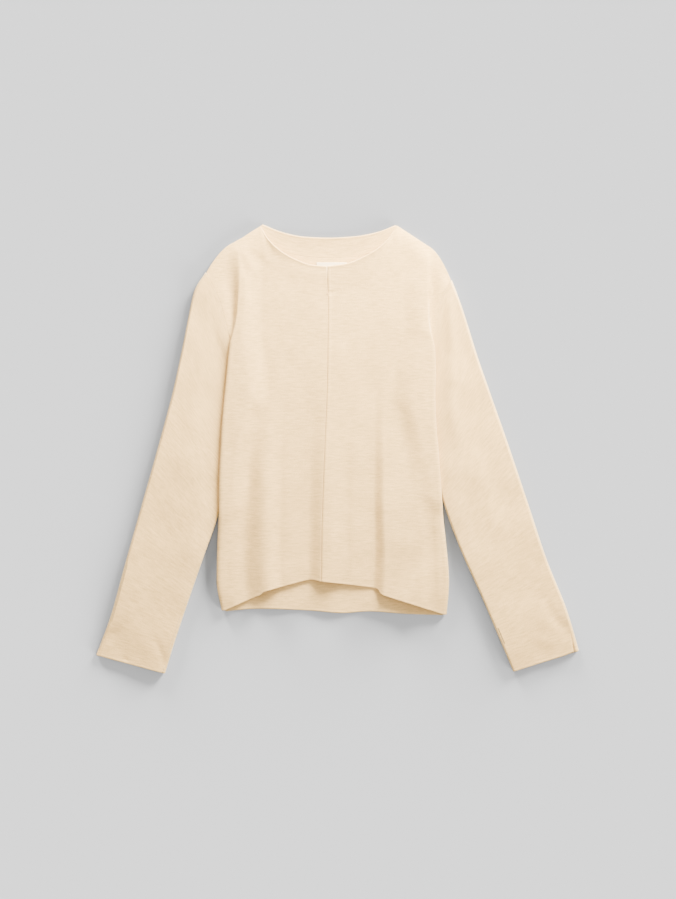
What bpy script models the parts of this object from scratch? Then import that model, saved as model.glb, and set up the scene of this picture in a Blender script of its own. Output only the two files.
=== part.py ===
"""Stand collar sweater, laid flat on its back.

Seven pieces of knitted cloth at their real size: two half fronts with the front collar grown on, the back, the back
band of the collar, two sleeves and a bare label. +Z is up from the surface that the garment lies on, +Y runs to the
collar and +X to the wearer's left. Sizes below are millimetres from the middle of the laid garment. Right and left
are the wearer's.
"""

import math
from collections import namedtuple
from functools import lru_cache

import bpy
import numpy as np
from mathutils import Vector

NAME = "stand_collar_sweater"
MM = 0.001

# Cloth and the spaces between its layers
WALL = 2.0
SEAM_GAP = 0.4
REST_Z = WALL / 2
SLEEVE_THICKNESS = 7.5
SLEEVE_FOLD_RADIUS = (SLEEVE_THICKNESS - WALL) / 2
ARMHOLE_REACH = 0.22
FRONT_Z = 6.8
EDGE_Z = 3.4

# Neck
RIM_Z = 8.8
RIM_ROLL = 9.0
TIP_Z = 4.6
TIP_SLOPE = 0.22
TIP_BLEND = 0.08
STAND_DIP = 0.3
STAND_DIP_AT = 20.0
STAND_DIP_WIDTH = 11.0
SHOULDER_ROUND = 9.0
BAND_RISE = 2.0
SLIT_LENGTH = 45.0
SLIT_WIDTH = 1.2
SLIT_CLOSING = 6.0

# Hem flutes
FLUTE_TOP_Y = 125.0
FLUTE_FULL_Y = -140.0

# Folds
BULGE_SLOPE = 36.0
DROP_START = 0.5
DROP_END = 0.9
TURN_SAMPLES = 48
SHOULDER_CROWN = 9.0
SHOULDER_CROWN_END = 0.07
UNDERARM_Y = 86.0
CORNER_EASE = 1.2
CORNER_LENGTH = 0.05
FRONT_LENGTH = 530.0
VALLEY_SKEW = 0.75

# Cuff slits
CUFF_SLIT = 26.0

# Back: where the neck seam starts and ends across it, and how far each shoulder bows up
NECK_START = 0.22
NECK_END = 0.78
BACK_CROWN = 10.5

# Label
LABEL_WIDTH = 47.0
LABEL_HEIGHT = 24.0
LABEL_THICKNESS = 0.8
LABEL_TOP = (-9.9, 290.0)
LAY_GAP = 0.3

# Steps of the meshes. ARMHOLE_STEPS and SIDE_STEPS are shares of the armhole and of the side seam.
CURVE_STEPS = 16
ARMHOLE_STEPS = (0, 0.025, 0.06, 0.11, 0.17, 0.25, 0.34, 0.44, 0.54, 0.64, 0.75, 0.87)
SIDE_STEPS = (0, 0.06, 0.13, 0.21, 0.3, 0.39, 0.48, 0.57, 0.66, 0.75, 0.84, 0.92, 1.0)
BODY_STEPS = ARMHOLE_STEPS + tuple(1 + step for step in SIDE_STEPS)
FRONT_STEPS = 10
FLUTE_COLUMNS = (0.0, 0.35, 0.7, 1.0, 1.5)
LEAST_COLUMN = 0.022
TURN_COUNT = 13
TURN_CROWDING = 1.35
TURN_STEPS = tuple((step / TURN_COUNT) ** TURN_CROWDING for step in range(1, TURN_COUNT + 1))
SHOULDER_STEPS = 4
NECK_STEPS = 12
BAND_STEPS = 4
SLEEVE_STEPS = 14
FOLD_STEPS = 5

CREAM = (0.77, 0.68, 0.53, 1.0)
WHITE = (0.85, 0.84, 0.80, 1.0)
ROUGHNESS = 0.9

Point = namedtuple("Point", "x y")

# The centre front, from the rim to the hem.
CENTRE = (
    Point(x=-17.1, y=284.0),
    Point(x=-15.6, y=225.0),
    Point(x=-16.6, y=120.0),
    Point(x=-20.9, y=0.0),
    Point(x=-24.6, y=-100.0),
    Point(x=-26.4, y=-204.5),
)

# The front's hem from corner to corner, rising to the middle.
HEM_FRONT = (
    Point(x=-181.0, y=-252.0),
    Point(x=-147.0, y=-237.0),
    Point(x=-119.0, y=-224.5),
    Point(x=-115.0, y=-221.0),
    Point(x=-111.0, y=-219.5),
    Point(x=-82.0, y=-211.5),
    Point(x=-41.0, y=-202.0),
    Point(x=-26.0, y=-204.5),
    Point(x=16.0, y=-209.6),
    Point(x=58.0, y=-215.5),
    Point(x=62.5, y=-217.0),
    Point(x=66.0, y=-223.0),
    Point(x=70.0, y=-225.5),
    Point(x=124.0, y=-243.0),
    Point(x=169.0, y=-258.0),
)

HEM_BACK = (
    Point(x=-181.0, y=-251.4),
    Point(x=-121.0, y=-247.0),
    Point(x=-43.0, y=-250.0),
    Point(x=8.0, y=-254.0),
    Point(x=50.0, y=-251.5),
    Point(x=112.0, y=-256.0),
    Point(x=169.0, y=-257.8),
)

# The flutes' heights along the front's hem, as the cloth's middle, with valleys and sharp crests by turns.
Flute = namedtuple("Flute", "x z")
FLUTES = (
    Flute(x=-185.0, z=6.0),
    Flute(x=-170.0, z=6.6),
    Flute(x=-141.0, z=4.4),
    Flute(x=-109.0, z=13.2),
    Flute(x=-84.0, z=6.4),
    Flute(x=-46.0, z=3.8),
    Flute(x=-21.0, z=12.6),
    Flute(x=16.0, z=6.6),
    Flute(x=54.0, z=3.6),
    Flute(x=72.0, z=12.8),
    Flute(x=126.0, z=12.2),
    Flute(x=160.0, z=9.0),
    Flute(x=172.0, z=7.0),
)

# The neck seam between the back and the collar's band, and the band's rim above it, from the right end to the left.
NECK_SEAM = (
    Point(x=-139.0, y=331.5),
    Point(x=-113.0, y=319.0),
    Point(x=-84.0, y=306.5),
    Point(x=-46.0, y=299.0),
    Point(x=-14.0, y=297.6),
    Point(x=19.0, y=299.0),
    Point(x=56.0, y=306.0),
    Point(x=88.0, y=319.0),
    Point(x=113.0, y=330.5),
)
BACK_RIM = (
    Point(x=-117.0, y=349.3),
    Point(x=-86.0, y=337.0),
    Point(x=-52.0, y=330.0),
    Point(x=-14.0, y=328.4),
    Point(x=25.0, y=330.5),
    Point(x=60.0, y=337.0),
    Point(x=89.0, y=347.9),
)

# One row for each place where a front turns at the body's edge: its height down the garment, the edge itself, how far
# in the turn starts, the middle of the cloth above and below the turn, the depth of the armhole's valley, how much of
# the turn is tucked under, and how far in the upper layer stays up.
Turn = namedtuple("Turn", "y edge roll top_z under_z seam_z dip tuck flat")

# One row for each section of a flattened sleeve, from the armhole to the cuff: its outer and inner edge.
Section = namedtuple("Section", "outer_x outer_y inner_x inner_y")

# A half front with the edges that it shares with its sleeve and the back. rim_points of front_top lie along the rim.
Side = namedtuple("Side", "name sign front_top rim_points armhole side_seam turns sleeve")

RIGHT_SIDE = Side(
    name="right",
    sign=-1,
    front_top=(
        Point(x=-17.1, y=284.0),
        Point(x=-40.0, y=286.0),
        Point(x=-66.0, y=295.0),
        Point(x=-89.0, y=308.2),
        Point(x=-107.0, y=325.0),
        Point(x=-120.5, y=346.0),
        Point(x=-135.3, y=337.1),
        Point(x=-157.0, y=322.4),
    ),
    rim_points=6,
    armhole=(
        Point(x=-205.0, y=275.0),
        Point(x=-194.5, y=254.0),
        Point(x=-185.5, y=235.0),
        Point(x=-177.5, y=208.0),
        Point(x=-172.5, y=190.0),
        Point(x=-164.5, y=166.0),
        Point(x=-159.0, y=137.0),
        Point(x=-154.0, y=110.0),
        Point(x=-146.0, y=86.0),
    ),
    side_seam=(
        Point(x=-146.0, y=86.0),
        Point(x=-143.5, y=66.0),
        Point(x=-144.0, y=40.0),
        Point(x=-149.5, y=0.0),
        Point(x=-159.0, y=-55.0),
        Point(x=-166.0, y=-110.0),
        Point(x=-170.0, y=-180.0),
        Point(x=-173.5, y=-251.0),
    ),
    turns=(
        Turn(y=322.4, edge=-157.0, roll=0.0, top_z=3.4, under_z=3.4, seam_z=3.75, dip=0.0, tuck=0.0, flat=0.0),
        Turn(y=300.0, edge=-157.0, roll=3.0, top_z=8.6, under_z=6.5, seam_z=6.5, dip=2.6, tuck=0.0, flat=0.0),
        Turn(y=270.0, edge=-158.0, roll=6.0, top_z=10.2, under_z=6.5, seam_z=6.5, dip=4.4, tuck=0.0, flat=0.0),
        Turn(y=240.0, edge=-160.0, roll=7.0, top_z=11.0, under_z=6.5, seam_z=6.5, dip=4.6, tuck=0.0, flat=2.0),
        Turn(y=212.0, edge=-162.0, roll=7.0, top_z=11.8, under_z=7.0, seam_z=6.7, dip=3.6, tuck=0.0, flat=3.0),
        Turn(y=194.0, edge=-164.0, roll=6.0, top_z=12.6, under_z=8.9, seam_z=8.0, dip=1.6, tuck=0.1, flat=5.0),
        Turn(y=180.0, edge=-165.5, roll=5.5, top_z=13.0, under_z=8.9, seam_z=8.9, dip=0.0, tuck=0.6, flat=7.0),
        Turn(y=165.0, edge=-167.2, roll=5.0, top_z=13.0, under_z=8.9, seam_z=8.9, dip=0.0, tuck=1.0, flat=10.0),
        Turn(y=120.0, edge=-171.2, roll=5.0, top_z=13.0, under_z=8.9, seam_z=8.9, dip=0.0, tuck=1.0, flat=22.0),
        Turn(y=85.0, edge=-174.6, roll=5.0, top_z=13.0, under_z=8.9, seam_z=8.9, dip=0.0, tuck=1.0, flat=28.0),
        Turn(y=58.0, edge=-177.2, roll=5.0, top_z=13.0, under_z=8.9, seam_z=8.9, dip=0.0, tuck=1.0, flat=32.0),
        Turn(y=32.0, edge=-179.2, roll=5.0, top_z=13.0, under_z=8.9, seam_z=1.0, dip=0.0, tuck=1.0, flat=24.0),
        Turn(y=0.0, edge=-180.8, roll=5.0, top_z=13.0, under_z=8.9, seam_z=1.0, dip=0.0, tuck=1.0, flat=18.0),
        Turn(y=-55.0, edge=-183.0, roll=5.0, top_z=13.0, under_z=8.9, seam_z=1.0, dip=0.0, tuck=1.0, flat=12.0),
        Turn(y=-95.0, edge=-183.2, roll=5.0, top_z=13.0, under_z=8.9, seam_z=1.0, dip=0.0, tuck=1.0, flat=8.0),
        Turn(y=-125.0, edge=-184.6, roll=5.5, top_z=10.6, under_z=4.0, seam_z=1.0, dip=0.0, tuck=1.0, flat=2.0),
        Turn(y=-155.0, edge=-186.2, roll=6.0, top_z=9.4, under_z=1.0, seam_z=1.0, dip=0.0, tuck=1.0, flat=0.0),
        Turn(y=-205.0, edge=-187.2, roll=6.0, top_z=8.2, under_z=1.0, seam_z=1.0, dip=0.0, tuck=1.0, flat=0.0),
        Turn(y=-251.0, edge=-179.5, roll=5.0, top_z=5.2, under_z=1.0, seam_z=1.0, dip=0.0, tuck=1.0, flat=0.0),
    ),
    sleeve=(
        Section(outer_x=-206.0, outer_y=277.0, inner_x=-146.0, inner_y=86.0),
        Section(outer_x=-222.5, outer_y=247.0, inner_x=-151.0, inner_y=70.0),
        Section(outer_x=-232.5, outer_y=200.7, inner_x=-157.0, inner_y=47.0),
        Section(outer_x=-243.5, outer_y=146.0, inner_x=-163.5, inner_y=16.0),
        Section(outer_x=-256.0, outer_y=90.0, inner_x=-171.0, inner_y=-22.0),
        Section(outer_x=-276.0, outer_y=14.7, inner_x=-183.5, inner_y=-92.0),
        Section(outer_x=-302.2, outer_y=-78.3, inner_x=-208.0, inner_y=-165.0),
        Section(outer_x=-328.6, outer_y=-171.3, inner_x=-231.0, inner_y=-232.0),
        Section(outer_x=-354.0, outer_y=-262.0, inner_x=-253.0, inner_y=-298.0),
        Section(outer_x=-375.6, outer_y=-319.0, inner_x=-268.2, inner_y=-347.5),
    ),
)

LEFT_SIDE = Side(
    name="left",
    sign=1,
    front_top=(
        Point(x=-17.1, y=284.0),
        Point(x=13.0, y=288.1),
        Point(x=40.0, y=299.0),
        Point(x=64.0, y=313.5),
        Point(x=80.0, y=330.0),
        Point(x=91.0, y=347.4),
        Point(x=110.0, y=335.0),
        Point(x=139.0, y=316.0),
    ),
    rim_points=6,
    armhole=(
        Point(x=176.0, y=263.0),
        Point(x=168.0, y=250.0),
        Point(x=161.5, y=236.0),
        Point(x=156.5, y=214.0),
        Point(x=151.5, y=192.0),
        Point(x=142.5, y=160.0),
        Point(x=135.0, y=132.0),
        Point(x=128.0, y=108.0),
        Point(x=119.0, y=86.0),
    ),
    side_seam=(
        Point(x=119.0, y=86.0),
        Point(x=116.5, y=66.0),
        Point(x=118.0, y=40.0),
        Point(x=125.5, y=0.0),
        Point(x=138.0, y=-50.0),
        Point(x=149.0, y=-100.0),
        Point(x=156.0, y=-170.0),
        Point(x=161.5, y=-257.0),
    ),
    turns=(
        Turn(y=316.0, edge=139.0, roll=0.0, top_z=3.4, under_z=3.4, seam_z=3.75, dip=0.0, tuck=0.0, flat=0.0),
        Turn(y=292.0, edge=141.0, roll=3.0, top_z=8.6, under_z=6.5, seam_z=6.5, dip=2.6, tuck=0.0, flat=0.0),
        Turn(y=262.0, edge=144.0, roll=6.0, top_z=10.0, under_z=6.5, seam_z=6.5, dip=4.2, tuck=0.0, flat=0.0),
        Turn(y=235.0, edge=144.5, roll=7.0, top_z=10.8, under_z=6.5, seam_z=6.5, dip=4.2, tuck=0.0, flat=2.0),
        Turn(y=208.0, edge=145.5, roll=7.0, top_z=11.6, under_z=7.0, seam_z=6.7, dip=3.2, tuck=0.0, flat=3.0),
        Turn(y=188.0, edge=146.5, roll=6.0, top_z=12.4, under_z=8.9, seam_z=8.2, dip=1.2, tuck=0.2, flat=4.0),
        Turn(y=174.0, edge=148.0, roll=5.5, top_z=13.0, under_z=8.9, seam_z=8.9, dip=0.0, tuck=0.7, flat=6.0),
        Turn(y=158.0, edge=149.3, roll=5.0, top_z=13.0, under_z=8.9, seam_z=8.9, dip=0.0, tuck=1.0, flat=9.0),
        Turn(y=118.0, edge=150.6, roll=5.0, top_z=13.0, under_z=8.9, seam_z=8.9, dip=0.0, tuck=1.0, flat=20.0),
        Turn(y=85.0, edge=149.6, roll=5.0, top_z=13.0, under_z=8.9, seam_z=8.9, dip=0.0, tuck=1.0, flat=26.0),
        Turn(y=54.0, edge=150.4, roll=5.0, top_z=13.0, under_z=8.9, seam_z=8.9, dip=0.0, tuck=1.0, flat=28.0),
        Turn(y=28.0, edge=152.0, roll=5.0, top_z=13.0, under_z=8.9, seam_z=1.0, dip=0.0, tuck=1.0, flat=22.0),
        Turn(y=0.0, edge=154.5, roll=5.0, top_z=13.0, under_z=8.9, seam_z=1.0, dip=0.0, tuck=1.0, flat=17.0),
        Turn(y=-45.0, edge=159.0, roll=5.0, top_z=13.0, under_z=8.9, seam_z=1.0, dip=0.0, tuck=1.0, flat=11.0),
        Turn(y=-75.0, edge=162.5, roll=5.0, top_z=13.0, under_z=8.9, seam_z=1.0, dip=0.0, tuck=1.0, flat=9.0),
        Turn(y=-105.0, edge=164.8, roll=5.5, top_z=10.2, under_z=4.0, seam_z=1.0, dip=0.0, tuck=1.0, flat=2.0),
        Turn(y=-140.0, edge=165.8, roll=6.0, top_z=9.8, under_z=1.0, seam_z=1.0, dip=0.0, tuck=1.0, flat=0.0),
        Turn(y=-205.0, edge=172.6, roll=6.0, top_z=7.6, under_z=1.0, seam_z=1.0, dip=0.0, tuck=1.0, flat=0.0),
        Turn(y=-257.0, edge=167.6, roll=5.0, top_z=5.2, under_z=1.0, seam_z=1.0, dip=0.0, tuck=1.0, flat=0.0),
    ),
    sleeve=(
        Section(outer_x=177.0, outer_y=264.0, inner_x=119.0, inner_y=86.0),
        Section(outer_x=187.5, outer_y=234.0, inner_x=124.5, inner_y=70.0),
        Section(outer_x=198.4, outer_y=200.7, inner_x=131.0, inner_y=48.0),
        Section(outer_x=215.5, outer_y=146.0, inner_x=138.5, inner_y=18.0),
        Section(outer_x=235.0, outer_y=90.0, inner_x=148.0, inner_y=-24.0),
        Section(outer_x=261.5, outer_y=14.7, inner_x=165.5, inner_y=-88.0),
        Section(outer_x=292.9, outer_y=-78.3, inner_x=192.5, inner_y=-161.0),
        Section(outer_x=323.9, outer_y=-171.3, inner_x=222.5, inner_y=-228.0),
        Section(outer_x=354.9, outer_y=-248.8, inner_x=250.0, inner_y=-293.0),
        Section(outer_x=374.0, outer_y=-312.5, inner_x=272.0, inner_y=-344.6),
    ),
)

SIDES = (RIGHT_SIDE, LEFT_SIDE)


def blend(start, end, share):
    return start + (end - start) * share


def ease(share):
    """0 to 1, flat at both ends."""
    share = min(max(share, 0.0), 1.0)
    return share * share * (3 - 2 * share)


def shared_slope(before, after):
    """The slope through a table's row, which never overshoots: the harmonic mean of the steps on each side."""
    total = before + after
    safe = np.where(np.abs(total) > 1e-9, total, 1.0)
    return np.where(before * after > 0, 2 * before * after / safe, 0.0)


@lru_cache(maxsize=None)
def fine_rows(rows):
    """A table's rows and the smooth curve between them, sampled finely."""
    table = np.array(rows, float)
    last = len(table) - 1
    samples = []
    for index in range(last * CURVE_STEPS + 1):
        row = min(index // CURVE_STEPS, last - 1)
        share = index / CURVE_STEPS - row
        start, end = table[row], table[row + 1]
        step = end - start
        start_slope = shared_slope(start - table[row - 1], step) if row > 0 else step
        end_slope = shared_slope(step, table[row + 2] - end) if row + 2 <= last else step
        cubed, squared = share**3, share**2
        samples.append(
            (2 * cubed - 3 * squared + 1) * start
            + (cubed - 2 * squared + share) * start_slope
            + (3 * squared - 2 * cubed) * end
            + (cubed - squared) * end_slope
        )
    return np.array(samples)


def row_at(rows, column, value):
    """A table's row where one of its columns has this value."""
    fine = fine_rows(rows)
    keys = fine[:, rows[0]._fields.index(column)]
    if keys[0] > keys[-1]:
        fine, keys = fine[::-1], keys[::-1]
    return type(rows[0])(*(float(np.interp(value, keys, fine[:, c])) for c in range(fine.shape[1])))


@lru_cache(maxsize=None)
def lengths(rows):
    """The length of a curve up to each of its samples."""
    steps = np.linalg.norm(np.diff(fine_rows(rows)[:, :2], axis=0), axis=1)
    return np.concatenate([[0.0], np.cumsum(steps)])


def walk(rows, share):
    """The point at a share of a curve's length."""
    fine, along = fine_rows(rows), lengths(rows)
    return np.array([np.interp(share * along[-1], along, fine[:, c]) for c in range(2)])


def flute_z(x):
    """Height of the fluted hem: soft valleys, and crests that turn sharply."""
    for start, end in zip(FLUTES, FLUTES[1:]):
        if x <= end.x:
            share = min(max((x - start.x) / (end.x - start.x), 0.0), 1.0)
            return blend(start.z, end.z, ease(share))
    return FLUTES[-1].z


def tip_share(side):
    """How far along a front's upper edge the collar's tip is."""
    rim = lengths(side.front_top[: side.rim_points])[-1]
    shoulder = lengths(side.front_top[side.rim_points - 1 :])[-1]
    return rim / (rim + shoulder)


def top_boundary(side, across):
    """The front's upper edge: along the rim to the collar's tip, then down the shoulder."""
    rim = side.front_top[: side.rim_points]
    shoulder = side.front_top[side.rim_points - 1 :]
    tip = tip_share(side)
    if across <= tip:
        return walk(rim, across / tip)
    return walk(shoulder, (across - tip) / (1 - tip))


def turn_at(side, down):
    """The body's edge at this share of the way from the shoulder to the hem."""
    return row_at(side.turns, "y", blend(side.turns[0].y, side.turns[-1].y, down))


def turn_start(side, down):
    turn = turn_at(side, down)
    return np.array([turn.edge - side.sign * turn.roll, turn.y])


def centre_point(down):
    centre = row_at(CENTRE, "y", blend(CENTRE[0].y, CENTRE[-1].y, down))
    return np.array(centre)


def hem_point(side, across):
    x = blend(CENTRE[-1].x, turn_start(side, 1.0)[0], across)
    return np.array(row_at(HEM_FRONT, "x", x))


def front_plan(side, across, down):
    """The upper layer's outline, filled evenly from its four edges."""
    corners = (
        (1 - across) * (1 - down) * centre_point(0.0)
        + across * (1 - down) * turn_start(side, 0.0)
        + (1 - across) * down * centre_point(1.0)
        + across * down * hem_point(side, 1.0)
    )
    return (
        (1 - down) * top_boundary(side, across)
        + down * hem_point(side, across)
        + (1 - across) * centre_point(down)
        + across * (turn_start(side, down) + down * (hem_point(side, 1.0) - turn_start(side, 1.0)))
        - corners
    )


def collar_z(across, down, tip):
    """Height near the top edge: the collar stands up along the rim, and the shoulder rounds down to the back."""
    distance = down * FRONT_LENGTH
    rim_z = blend(TIP_Z, RIM_Z, ease((tip - across) / TIP_SLOPE))
    stand = FRONT_Z + (rim_z - FRONT_Z) * math.exp(-((distance / RIM_ROLL) ** 2))
    stand -= STAND_DIP * math.exp(-(((distance - STAND_DIP_AT) / STAND_DIP_WIDTH) ** 2))
    shoulder = EDGE_Z + (FRONT_Z - EDGE_Z) * (1 - math.exp(-distance / SHOULDER_ROUND))
    return blend(stand, shoulder, ease((across - tip) / TIP_BLEND + 0.5))


def front_z(side, across, down, y):
    tip = tip_share(side)
    calm = collar_z(across, down, tip)
    hem_x = blend(CENTRE[-1].x, hem_point(side, 1.0)[0], across)
    grown = ease((FLUTE_TOP_Y - y) / (FLUTE_TOP_Y - FLUTE_FULL_Y))
    fluted = blend(calm, flute_z(hem_x), grown)
    turn = turn_at(side, down)
    inward = abs(front_plan(side, across, down)[0] - turn_start(side, down)[0])
    bulge = 1 - ease((inward - turn.flat) / BULGE_SLOPE)
    return blend(fluted, turn.top_z, bulge)


def down_at(side, step):
    """How far down the garment a step is: 0 to 1 down the armhole, 1 to 2 down the side seam."""
    underarm = (side.turns[0].y - UNDERARM_Y) / (side.turns[0].y - side.turns[-1].y)
    return underarm * step if step <= 1 else blend(underarm, 1.0, step - 1)


def body_edge(side, step):
    """The edge that a front and the back share: down the armhole to the underarm, then down the side."""
    seam = walk(side.armhole, step) if step <= 1 else walk(side.side_seam, step - 1)
    corner = max(0.0, 1 - min(step, abs(1 - step)) / CORNER_LENGTH)
    return seam - np.array([side.sign * (SEAM_GAP / 2 + CORNER_EASE * corner), 0.0])


def raw_turn_point(side, share, step):
    """Past the body's edge: the armhole's valley above, the cloth tucked under below."""
    down = down_at(side, step)
    turn = turn_at(side, down)
    start = front_plan(side, 1.0, down)
    seam = body_edge(side, step) + np.array([side.sign * SEAM_GAP if step > 1 else 0.0, 0.0])
    bow = SHOULDER_CROWN * max(0.0, 1 - down / SHOULDER_CROWN_END) * 4 * share * (1 - share)
    y = blend(start[1], seam[1], share) + bow
    valley_x = blend(start[0], seam[0], share)
    valley_z = blend(turn.top_z, turn.seam_z, ease(share)) - turn.dip * math.sin(math.pi * share**VALLEY_SKEW) ** 2
    edge_x = start[0] + side.sign * turn.roll
    beyond = side.sign * (seam[0] - start[0])
    foot_x = start[0] + side.sign * min(max(beyond, 0.0), turn.roll)
    if share <= 0.5:
        angle = math.pi * share / 0.5
        tuck_x = blend(start[0] if share <= 0.25 else foot_x, edge_x, math.sin(angle))
        tuck_z = (turn.top_z + turn.under_z) / 2 + (turn.top_z - turn.under_z) / 2 * math.cos(angle)
    else:
        under = (share - 0.5) / 0.5
        tuck_x = blend(foot_x, seam[0], under)
        tuck_z = blend(turn.under_z, turn.seam_z, ease((under - DROP_START) / (DROP_END - DROP_START)))
    return (blend(valley_x, tuck_x, turn.tuck), y, blend(valley_z, tuck_z, turn.tuck))


@lru_cache(maxsize=None)
def turn_path(side_name, step):
    """A row of points round the turn and under it, and how far along it each is."""
    side = next(side for side in SIDES if side.name == side_name)
    path = np.array([raw_turn_point(side, k / TURN_SAMPLES, step) for k in range(TURN_SAMPLES + 1)])
    along = np.concatenate([[0.0], np.cumsum(np.linalg.norm(np.diff(path, axis=0), axis=1))])
    return path, along / along[-1]


def turn_point(side, share, step):
    """A point at a share of the length round the turn and under it."""
    path, along = turn_path(side.name, step)
    return tuple(np.interp(share, along, path[:, c]) for c in range(3))


def front_point(side, across, step):
    """A point in the middle of a half front: across 0 to 1 is the upper layer, 1 to 2 the turn and what is under it."""
    down = down_at(side, step)
    if across > 1.0:
        return turn_point(side, across - 1.0, step)
    x, y = front_plan(side, across, down)
    slit = ease((y - (CENTRE[0].y - SLIT_LENGTH)) / SLIT_CLOSING) if across == 0.0 else 0.0
    gap = blend(SEAM_GAP, SLIT_WIDTH, slit) / 2 * (1 - across)
    return (x + side.sign * gap, y, front_z(side, across, down, y))


def back_hem(x):
    """The point of the back's hem at this x."""
    return np.array(row_at(HEM_BACK, "x", x))


def back_top(across):
    """The back's upper edge: up one shoulder, along the neck seam and down the other shoulder."""
    right, left = SIDES
    neck_gap = np.array([0.0, SEAM_GAP / 2])
    if across < NECK_START:
        start = body_edge(right, 0.0)
        end = walk(NECK_SEAM, 0.0) - neck_gap
        share = across / NECK_START
    elif across <= NECK_END:
        return walk(NECK_SEAM, (across - NECK_START) / (NECK_END - NECK_START)) - neck_gap
    else:
        start = walk(NECK_SEAM, 1.0) - neck_gap
        end = body_edge(left, 0.0)
        share = (across - NECK_END) / (1 - NECK_END)
    crown = BACK_CROWN * 4 * share * (1 - share)
    return blend(start, end, share) + np.array([0.0, crown])


def back_point(across, step):
    """A point in the middle of the back, which lies flat: across runs from the right side to the left."""
    down = sum(down_at(side, step) for side in SIDES) / 2
    edges = [body_edge(side, step) for side in SIDES]
    shoulders = [body_edge(side, 0.0) for side in SIDES]
    hem_ends = [body_edge(side, 2.0) for side in SIDES]
    hem = back_hem(blend(hem_ends[0][0], hem_ends[1][0], across))
    lifts = [end[1] - back_hem(end[0])[1] for end in hem_ends]
    hem[1] += blend(lifts[0], lifts[1], across)
    corners = (1 - down) * blend(shoulders[0], shoulders[1], across) + down * blend(hem_ends[0], hem_ends[1], across)
    plan = (1 - down) * back_top(across) + down * hem + blend(edges[0], edges[1], across) - corners
    return (plan[0], plan[1], REST_Z)


def band_point(across, up):
    """A point in the middle of the collar's back band, from the neck seam up to its rim."""
    seam = walk(NECK_SEAM, across) + np.array([0.0, SEAM_GAP / 2])
    rim = walk(BACK_RIM, across)
    plan = blend(seam, rim, up)
    rise = BAND_RISE * up * up * (1 - (2 * across - 1) ** 4)
    return (plan[0], plan[1], REST_Z + rise)


def sleeve_point(side, along, share, turn):
    """A point in the middle of a flattened sleeve, at a share of its width from the outer edge. turn is 0 on the upper
    layer, 0 to 1 round the inner fold, 1 on the lower layer and 1 to 2 round the outer fold."""
    sections = fine_rows(side.sleeve)
    place = along * (len(sections) - 1)
    section = [np.interp(place, range(len(sections)), sections[:, c]) for c in range(4)]
    outer, inner = np.array(section[:2]), np.array(section[2:])
    width = np.linalg.norm(inner - outer)
    radius = SLEEVE_FOLD_RADIUS / width
    fold_start = (WALL / 2) / width + radius
    share = min(max(share, fold_start), 1 - fold_start)
    share += radius * math.sin(math.pi * turn)
    armhole_start, armhole_end = np.array(side.sleeve[0][:2]), np.array(side.sleeve[0][2:])
    bend = walk(side.armhole, share) - blend(armhole_start, armhole_end, share)
    plan = blend(outer, inner, share) + bend * max(0.0, 1 - along / ARMHOLE_REACH) ** 2
    plan[0] += side.sign * SEAM_GAP / 2
    middle = REST_Z + SLEEVE_FOLD_RADIUS
    return (plan[0], plan[1], middle + SLEEVE_FOLD_RADIUS * math.cos(math.pi * turn))


def cloth(name, rows, closed=False, leave_out=()):
    """A wall of cloth round a grid of middle points. A closed grid joins each row's end to its start."""
    points = [Vector(point) * MM for row in rows for point in row]
    width = len(rows[0])
    faces = []
    for row in range(len(rows) - 1):
        for column in range(width if closed else width - 1):
            if (row, column) in leave_out:
                continue
            after = (column + 1) % width
            faces.append(
                (
                    row * width + column,
                    (row + 1) * width + column,
                    (row + 1) * width + after,
                    row * width + after,
                )
            )
    mesh = bpy.data.meshes.new(name)
    mesh.from_pydata(points, [], faces)
    mesh.shade_smooth()
    part = bpy.data.objects.new(name, mesh)
    wall = part.modifiers.new("wall", "SOLIDIFY")
    wall.thickness = WALL * MM
    wall.offset = 0.0
    wall.use_quality_normals = True
    return part


def material(name, colour, roughness):
    made = bpy.data.materials.new(name)
    made.use_nodes = True
    shader = made.node_tree.nodes["Principled BSDF"]
    shader.inputs["Base Color"].default_value = colour
    shader.inputs["Roughness"].default_value = roughness
    return made


def front_columns(side):
    """Columns at even steps, closer at the steep side of each flute, with one at the collar's tip."""
    hem_start, hem_end = CENTRE[-1].x, hem_point(side, 1.0)[0]
    columns = {0.0, 1.0, tip_share(side)}
    columns |= {step / FRONT_STEPS for step in range(FRONT_STEPS + 1)}
    for valley, crest in zip(FLUTES, FLUTES[1:]):
        if crest.z > valley.z:
            for share in FLUTE_COLUMNS:
                x = blend(valley.x, crest.x, share)
                columns.add((x - hem_start) / (hem_end - hem_start))
    kept = []
    for column in sorted(c for c in columns if 0 <= c <= 1):
        if not kept or column - kept[-1] > LEAST_COLUMN:
            kept.append(column)
    kept[-1] = 1.0
    return kept


def make_front(side):
    across = front_columns(side) + [1 + step for step in TURN_STEPS]
    rows = [[front_point(side, a, step) for a in across] for step in BODY_STEPS]
    if side.sign < 0:
        rows = [row[::-1] for row in rows]
    return cloth(f"front_{side.name}", rows)


def make_back():
    across = [step / SHOULDER_STEPS * NECK_START for step in range(SHOULDER_STEPS)]
    across += [blend(NECK_START, NECK_END, step / NECK_STEPS) for step in range(NECK_STEPS)]
    across += [blend(NECK_END, 1.0, step / SHOULDER_STEPS) for step in range(SHOULDER_STEPS + 1)]
    return cloth("back", [[back_point(a, step) for a in across] for step in BODY_STEPS])


def make_band():
    across = [step / NECK_STEPS for step in range(NECK_STEPS + 1)]
    up = [1 - step / BAND_STEPS for step in range(BAND_STEPS + 1)]
    return cloth("collar_back", [[band_point(a, share) for a in across] for share in up])


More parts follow.
